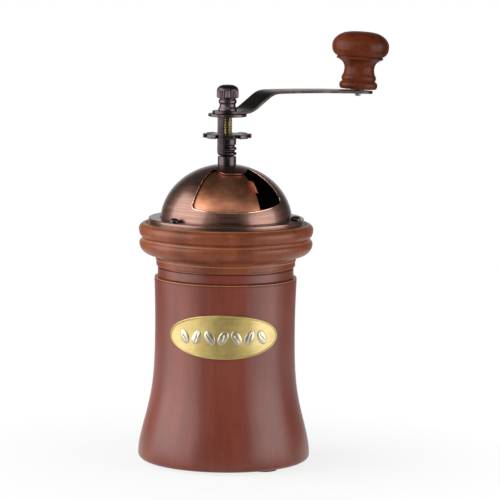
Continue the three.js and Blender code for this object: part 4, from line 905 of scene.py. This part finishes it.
def notched_disc():
    """A disc whose round is broken by even notches with eased corners."""
    half, ease, pitch = 1.85, 0.3, 360 / NOTCH_COUNT
    shoulder = math.degrees(math.asin((half + 0.25) / DISC_RADIUS))
    land = shoulder + (pitch - 2 * shoulder) * np.linspace(0, 1, 9)
    turn = np.concatenate([np.zeros(5), land, [pitch]])
    out = np.concatenate([
        [NOTCH_FLOOR + ease, NOTCH_FLOOR, NOTCH_FLOOR, NOTCH_FLOOR + ease, DISC_RADIUS - 0.45],
        np.full(len(land), DISC_RADIUS), [DISC_RADIUS - 0.45],
    ])
    side = np.concatenate([[-half, ease - half, half - ease, half, half], np.zeros(len(land)), [-half]])
    centres = NOTCH_BEARING + pitch * np.arange(NOTCH_COUNT)[:, None]
    outline = along(centres + turn, out, side).reshape(-1, 2)
    levels = [
        (0.35, DISC_FOOT), (0.1, DISC_FOOT + 0.12), (0, DISC_FOOT + 0.35),
        (0, DISC_TOP - 0.35), (0.1, DISC_TOP - 0.12), (0.35, DISC_TOP),
    ]
    return prism("disc", [outline, circle(NUT_BORE, 48)[::-1]], levels)


def ring_nut():
    """A hub with two rings and a collar, under the notched disc."""
    ring_radius, ring_height = 0.95, 0.85
    profile = np.vstack([
        [[NUT_BORE, NUT_FOOT], [3.6, NUT_FOOT]],
        arc(3.75, NUT_FOOT + 1.0, ring_radius, ring_height, -85, 85, 10),
        [[3.72, NUT_FOOT + 2.1]],
        arc(3.75, NUT_FOOT + 3.4, ring_radius, ring_height, -85, 85, 10),
        eased([
            [3.75, NUT_FOOT + 4.5], [3.8, NUT_FOOT + 4.9, 0.3], [4.4, NUT_FOOT + 5.4, 0.3],
            [4.4, DISC_FOOT + 0.2], [NUT_BORE, DISC_FOOT + 0.2], [NUT_BORE, NUT_FOOT],
        ]),
    ])
    return joined("grind_nut", lathe("hub", profile, sides=64), notched_disc())


def lock_disc():
    """A disc, and a tab bent down from its edge through a notch of the nut."""
    levels = [
        (0.3, PLATE_FOOT), (0.08, PLATE_FOOT + 0.1), (0, PLATE_FOOT + 0.3),
        (0, ARM_FOOT - 0.3), (0.08, ARM_FOOT - 0.1), (0.3, ARM_FOOT),
    ]
    plate = prism("plate", [circle(PLATE_RADIUS, 96), circle(NUT_BORE, 32)[::-1]], levels)
    half, foot, root = 1.7, DISC_FOOT - 7.5, ARM_FOOT - 0.7
    back, front = 7.9, 9.5
    face = eased([
        [half, root], [half, foot, 0.4], [0.5 - half, foot, 0.5], [-half, foot + 1.2, 0.5], [-half, root],
    ])
    depths = [(0.25, back), (0.06, back + 0.08), (0, back + 0.25), (0, 9.2), (0.08, 9.42), (0.3, front)]
    tab = prism("tab", [face[::-1]], depths, standing(NOTCH_BEARING, out=2, side=0))
    shoulder = eased([
        [back, ARM_FOOT - 1.35], [front, ARM_FOOT - 1.3], [front, ARM_FOOT, 0.9], [back, ARM_FOOT],
    ], steps=5)
    widths = [(0.1, -half), (0, 0.1 - half), (0, half - 0.1), (0.1, half)]
    bend = prism("bend", [shoulder], widths, standing(NOTCH_BEARING, out=0, side=2))
    return joined("lock_disc", plate, tab, bend)


ARM_MIDDLE = ARM_FOOT + ARM_THICKNESS / 2
ARM_FIRST = 9.5
ARM_RISE = 9.2
ARM_SLOPE = 35.0
ARM_SECOND = ARM_FIRST + ARM_RISE / math.tan(radians(ARM_SLOPE))
ARM_BOW = math.tan(radians(ARM_DROOP)) / 2 / (ARM_REACH - ARM_SECOND)


def arm_outer(out):
    """Height of the outer part: the second bend's, less the bow times the squared distance from it."""
    return ARM_MIDDLE + ARM_RISE - ARM_BOW * (out - ARM_SECOND) ** 2


def arm():
    """A strip of one width with round ends, carried along the bent line.

    Near an end the half width is the root of its square less the square of the end's centre's distance.
    """
    half = ARM_WIDTH / 2
    outs = np.linspace(ARM_SECOND, ARM_REACH + half, 9)[1:]
    line = eased([
        (-half, ARM_MIDDLE), (ARM_FIRST, ARM_MIDDLE, 3.8), (ARM_SECOND, ARM_MIDDLE + ARM_RISE, 6.5),
        *zip(outs, arm_outer(outs)),
    ], steps=12)
    lengths = np.append(0, np.cumsum(np.linalg.norm(np.diff(line, axis=0), axis=1)))
    total = lengths[-1]
    near = half * (1 - np.cos(np.linspace(0, np.pi / 2, 16)))
    stations = np.concatenate([near, np.linspace(half, total - half, 90)[1:-1], (total - near)[::-1]])
    x, z = (np.interp(stations, lengths, line[:, axis]) for axis in range(2))
    way = np.column_stack([np.gradient(x, stations), np.gradient(z, stations)])
    way /= np.linalg.norm(way, axis=1)[:, None]
    from_end = np.minimum(np.minimum(stations, total - stations), half)
    width = np.sqrt(half ** 2 - (half - from_end) ** 2)
    flat, edge, chamfer = ARM_THICKNESS / 2, 0.25, 0.07
    sign = np.repeat([1, -1], 6)
    inward = np.tile([edge, chamfer, 0, 0, chamfer, edge], 2)
    lift = np.array([flat, flat - chamfer, flat - edge, edge - flat, chamfer - flat, -flat])
    lift = np.append(lift, lift[::-1])
    side = sign * np.maximum(width[:, None] - inward, 0)
    plan = along(ARM_BEARING, x[:, None] - way[:, 1:] * lift, side)
    heights = z[:, None] + way[:, :1] * lift
    points = np.concatenate([plan, heights[..., None]], axis=-1)
    faces = grid_faces(len(stations), len(lift), wrap_columns=True)
    return object_of("crank_strip", points, faces, crease=40)


def thumb_nut():
    """A blind nut with a flared foot, a neck, a ring and a knurled, domed head.

    On the knurl the radius loses its depth times half of 1 less the cosine of the angle times the ridges.
    """
    ridges, depth = 26, 0.34
    a, foot = ARM_TOP, CAP_TOP - 6.6
    profile = np.vstack([
        eased([
            [NUT_BORE, a], [4.6, a, 0.1], [4.6, a + 0.8, 0.4], [3.9, a + 2.2, 0.8], [3.9, a + 3.4, 0.2],
            [4.4, a + 3.8, 0.3], [4.4, a + 5.2, 0.3], [3.9, a + 5.6, 0.2], [3.9, foot - 0.1, 0.1],
            [4.7, foot, 0.2], [5.3, foot + 0.5, 0.2],
        ]),
        np.column_stack([np.full(12, 5.35), np.linspace(foot + 0.6, foot + 3.8, 12)]),
        smooth([
            [5.3, foot + 3.95], [4.95, foot + 4.9], [4.1, foot + 5.8], [2.4, foot + 6.45], [0, CAP_TOP],
        ], steps=5),
    ])

    def knurl(r, z, angle):
        on = np.clip((z - foot - 0.4) / 0.4, 0, 1) * np.clip((foot + 4.1 - z) / 0.4, 0, 1)
        return r - depth * on * (0.5 - 0.5 * np.cos(ridges * angle))

    return lathe("thumb_nut", profile, sides=ridges * 8, shape=knurl, crease=50)


dressed(spindle(), THREAD_BRASS_SHADED, "spindle", "turned_brass", "shaft")
dressed(ring_nut(), GUNMETAL, "adjuster", "gunmetal", "adjusting_nut")
dressed(lock_disc(), GUNMETAL, "spindle", "gunmetal", "lock_plate")
dressed(arm(), ARM_PLATING, "spindle", "gunmetal", "crank_arm")
dressed(thumb_nut(), GUNMETAL, "cap", "gunmetal", "cap_nut")


# Knob and its pin

def lathe_on_pin(name, profile, sides):
    """A turned shape about the pin's own axis, which leans with the crank's droop, on its top face."""
    seat = ARM_THICKNESS / 2 / math.cos(radians(ARM_DROOP))
    pin = Matrix.Rotation(radians(ARM_BEARING - 90), 4, "Z")
    pin = pin @ Matrix.Translation((ARM_REACH, 0, arm_outer(ARM_REACH) + seat))
    pin = np.array(pin @ Matrix.Rotation(radians(ARM_DROOP), 4, "Y"))
    made = lathe(name, profile, sides)
    points = np.empty(len(made.data.vertices) * 3)
    made.data.vertices.foreach_get("co", points)
    points = (points.reshape(-1, 3) * 1000 - UNDERSIDE) @ pin[:3, :3].T + pin[:3, 3]
    made.data.vertices.foreach_set("co", ((points + UNDERSIDE) / 1000).ravel())
    return made


def turned_knob():
    """A foot bead, a waisted neck, a thin ring and a flattened ball."""
    profile = np.vstack([
        [[3.7, 0.6]],
        eased([[3.7, 0.6], [8.5, 0.6, 0.3], [9.3, 1.0, 0.6]])[1:],
        arc(8.35, 2.55, 1.25, 1.75, -50, 65, 12),
        eased([
            [8.6, 4.3], [8.2, 4.7, 0.25], [8.5, 5.1, 0.3], [8.75, 6.0, 0.6], [8.6, 6.9, 0.5], [8.0, 7.9, 0.6],
        ], steps=5),
        smooth([[7.75, 8.7], [7.5, 10.7], [7.75, 12.3], [8.6, 13.9], [10.2, 15.1], [11.4, 15.6]]),
        eased([[11.5, 15.65], [11.85, 15.95, 0.3], [11.6, 16.4, 0.3], [11.35, 16.75, 0.2]], steps=5),
        smooth([
            [11.7, 17.0], [12.9, 17.9], [13.9, 19.5], [14.25, 21.5], [14.15, 23.3], [13.3, 25.2],
            [11.3, 27.2], [8.2, 28.7], [4.2, 29.35], [0, 29.48],
        ], steps=7),
    ])
    return lathe_on_pin("turned_knob", profile, 128)


def rivet_pin():
    """A pin with a collar on the crank, its end riveted over below and its head inside the knob."""
    return lathe_on_pin("rivet_pin", eased([
        [0, -2.9], [1.3, -2.8, 0.4], [1.45, -2.3, 0.2], [1.45, 0.3], [3.4, 0.3, 0.05], [3.4, 0.9],
        [2.2, 0.9], [2.2, 16], [3, 16], [3, 17.6], [0, 17.6],
    ]), 48)


dressed(turned_knob(), KNOB_WOOD, "knob", "knob_wood", "knob")
dressed(rivet_pin(), BURR_STEEL, "spindle", "bright_steel", "knob_pin")


# Badge

BADGE_CENTRE = 65.0
BADGE_HALF_LENGTH = 28.75
BADGE_HALF_HEIGHT = 10.8
BADGE_BEARING = -1.0
BADGE_TOP_RADIUS = body_radius(BADGE_CENTRE + BADGE_HALF_HEIGHT)
BADGE_FOOT_RADIUS = body_radius(BADGE_CENTRE - BADGE_HALF_HEIGHT)
BADGE_RADIUS = float(max(BADGE_TOP_RADIUS, BADGE_FOOT_RADIUS)) + 0.15
BADGE_FACE = 0.66
BEAN_COUNT = 7
BEAN_SPAN = 19.5


def laid_round(points):
    """Points of u round the body, v up and w out, laid on it: the angle is u over the radius."""
    u, v, w = points.T
    angle = u / (BADGE_RADIUS + 0.5) + radians(BADGE_BEARING)
    radius = BADGE_RADIUS + w
    return np.column_stack([radius * np.sin(angle), -radius * np.cos(angle), BADGE_CENTRE + v])


def badge():
    """An oval plate: rings from its middle over its raised border to its back, each with its own height.

    A ring's half length is its share of the plate's. So is its half height in the field, and in the
    border it is inset by as much as the half length.
    """
    field = [(share, BADGE_FACE) for share in (0.0, 0.2, 0.4, 0.6, 0.75, 0.86, 0.93, 0.962)]
    border = [
        (0.966, 0.7), (0.971, 0.86), (0.976, 0.95), (0.982, 0.98), (0.989, 0.95), (0.995, 0.84),
        (1.0, 0.64), (1.0, 0.1), (0.997, 0.0),
    ]
    share, height = np.array(field + border).T[:, :, None]
    t = np.linspace(0, 2 * np.pi, 144, endpoint=False)
    length = BADGE_HALF_LENGTH * share
    inset = BADGE_HALF_HEIGHT - (1 - share) * BADGE_HALF_LENGTH
    breadth = np.where(share < 0.9, BADGE_HALF_HEIGHT * share, inset)
    rings = np.stack(np.broadcast_arrays(length * np.cos(t), breadth * np.sin(t), height), axis=-1)
    points = np.vstack([rings.reshape(-1, 3), np.zeros((1, 3))])
    faces = grid_faces(len(share), len(t), wrap_columns=True)
    middle = len(points) - 1
    back = middle - len(t) + np.arange(len(t))
    faces += np.column_stack([back, np.roll(back, -1), np.full(len(t), middle)]).tolist()
    return object_of("badge", laid_round(points), faces, crease=30)


def bean(u, v, tilt):
    """A coffee bean in relief: half an ellipsoid with an S-shaped furrow along it.

    The height is the root of 1 less the squares of the two shares p and q, lowered by the furrow: e to
    the power of minus the square of the distance from the S, over its width.
    """
    length, width, height = 7.4, 4.6, 0.62
    share = np.linspace(0, 1, 15)
    t = np.linspace(0, 2 * np.pi, 40, endpoint=False)
    s, a = np.meshgrid(share, t, indexing="ij")
    p, q = s * np.cos(a), s * np.sin(a)
    swell = np.sqrt(np.maximum(1 - p ** 2 - q ** 2, 0))
    furrow = np.exp(-(((q - 0.16 * np.sin(np.pi * p)) / 0.13) ** 2)) * np.clip(1.15 - np.abs(p), 0, 1)
    w = BADGE_FACE - 0.06 + height * swell * (1 - 0.62 * furrow)
    x, y = p * length / 2, q * width / 2
    c, d = math.cos(radians(tilt)), math.sin(radians(tilt))
    points = np.column_stack([(u + x * c - y * d).ravel(), (v + x * d + y * c).ravel(), w.ravel()])
    faces = grid_faces(len(share), len(t), wrap_columns=True)
    rim = (len(share) - 1) * len(t)
    faces.append(list(range(rim, rim + len(t)))[::-1])
    return object_of("bean", laid_round(points), faces, crease=60)


dressed(badge(), BADGE_FIELD, "base", "badge_brass", "badge_plate")
places = np.linspace(-BEAN_SPAN, BEAN_SPAN, BEAN_COUNT)
beans = joined("badge_beans", *[bean(u, -0.4, 62 if i % 2 else 118) for i, u in enumerate(places)])
dressed(beans, BADGE_RELIEF, "base", "badge_brass")


# Nodes that keep their CAD shape

KEPT = {
    STEEL: [
        "bushing_nut", "carrier_screw_1", "carrier_screw_2", "carrier_screw_3", "spring_washer",
        "burr_spring", "burr_nut",
    ],
    BURR_STEEL: ["outer_burr", "inner_burr"],
    BRASS: ["lower_bush", "knob_bush"],
    CASTING: ["burr_carrier"],
}
for finish, names in KEPT.items():
    for name in names:
        materials = frame["nodes"][name].data.materials
        materials.clear()
        materials.append(finish)


# Floor, lights and camera

FLOOR_RADIUS = 350
# The lamps' aim, counted from the floor
AIM_HEIGHT = 100


def floor():
    """Pale paper, which reflects 86 to 88 hundredths of the light.

    To the camera and to metal it is white away from the object, with a faint shadow near.
    """
    rim = circle(FLOOR_RADIUS, 96)
    points = np.column_stack([rim, np.full(len(rim), -FOOT_HEIGHT)])
    made = object_of("floor", points, [list(range(len(rim)))])
    finish, tree, shader = material("pale_paper", Roughness=0.9, Specular_IOR_Level=0.1)
    tone = mottle(tree, (60, 60, 60))
    connect(tree, shader, Base_Color=add(tree, "MapRange", [tone, 0.3, 0.7, 0.86, 0.88]))
    place = add(tree, "TexCoord", output="Object")
    distance = add(tree, "VectorMath", [place], "Value", operation="LENGTH")
    far = add(tree, "MapRange", [distance, 0.045, 0.15, 0.82, 1.0])
    seen = [add(tree, "LightPath", output=ray) for ray in ("Is Camera Ray", "Is Glossy Ray")]
    share = add(tree, "Math", [far, add(tree, "Math", seen, operation="MAXIMUM")], operation="MULTIPLY")
    white = add(tree, "Emission", [srgb("#ffffff"), 1.0])
    both = add(tree, "MixShader", [share, shader.outputs[0], white])
    tree.links.new(both, tree.nodes["Material Output"].inputs["Surface"])
    made.data.materials.append(finish)


def softbox(name, bearing, distance, height, width, tall, power):
    """A soft lamp on a bearing, at a height above the floor, aimed at the object."""
    data = bpy.data.lights.new(name, "AREA")
    data.shape = "RECTANGLE"
    data.size = width / 1000
    data.size_y = tall / 1000
    data.energy = power
    made = linked(name, data)
    made.location = (*along(bearing, distance) / 1000, height / 1000)
    aim = Vector((0, 0, AIM_HEIGHT / 1000)) - made.location
    made.rotation_euler = aim.to_track_quat("-Z", "Y").to_euler()


def world():
    """A low white backdrop behind the object, which the camera sees all round, in a dim grey room.

    The room's strength is the backdrop's, which grows far behind and ends above, plus a dim one all
    round, which falls a little upwards.
    """
    made = bpy.data.worlds.new("studio")
    made.use_nodes = True
    tree = made.node_tree
    tree.nodes.clear()
    direction = add(tree, "TexCoord", output="Generated")
    back, up = (add(tree, "SeparateXYZ", [direction], axis) for axis in (1, 2))
    backdrop = add(tree, "MapRange", [back, 0.85, 0.98, 0.0, 0.7])
    below = add(tree, "MapRange", [up, 0.25, 0.5, 1.0, 0.0])
    dim = add(tree, "MapRange", [up, 0.2, 0.8, 0.1, 0.08])
    strength = add(tree, "Math", [backdrop, below, dim], operation="MULTIPLY_ADD")
    room = add(tree, "Background", [srgb("#ffffff"), strength])
    white = add(tree, "Background", [srgb("#ffffff"), 1.0])
    seen = [add(tree, "LightPath", output=ray) for ray in ("Is Camera Ray", "Is Transmission Ray")]
    clear = add(tree, "Math", seen, operation="MAXIMUM")
    surface = add(tree, "MixShader", [clear, room, white])
    output = tree.nodes.new("ShaderNodeOutputWorld")
    tree.links.new(surface, output.inputs["Surface"])
    bpy.context.scene.world = made


def camera():
    """The photograph's view: slightly from above, with a long lens and a small tilt of the horizon.

    The target's height counts from the floor.
    """
    pitch, roll = radians(7.15), radians(0.72)
    distance, target = 1470, np.array([11.8, 0, 104.6])
    view = np.array([0, math.cos(pitch), -math.sin(pitch)])
    level_up = np.array([0, math.sin(pitch), math.cos(pitch)])
    right = math.cos(roll) * np.array([1, 0, 0]) + math.sin(roll) * level_up
    up = np.cross(right, view)
    data = bpy.data.cameras.new("view")
    data.lens = 216.0
    data.sensor_width = 36.0
    made = linked("view", data)
    turn = Matrix(np.column_stack([right, up, -view]).tolist()).to_4x4()
    made.matrix_world = Matrix.Translation((target - distance * view) / 1000) @ turn
    bpy.context.scene.camera = made


floor()
world()
camera()
softbox("softbox_right", 69, 1100, 200, 1100, 800, 11.5)
softbox("softbox_left", -76, 950, 400, 1400, 1100, 20)
softbox("fill_front", 0, 900, 1060, 800, 360, 2.2)
bpy.context.scene.view_settings.view_transform = "Standard"
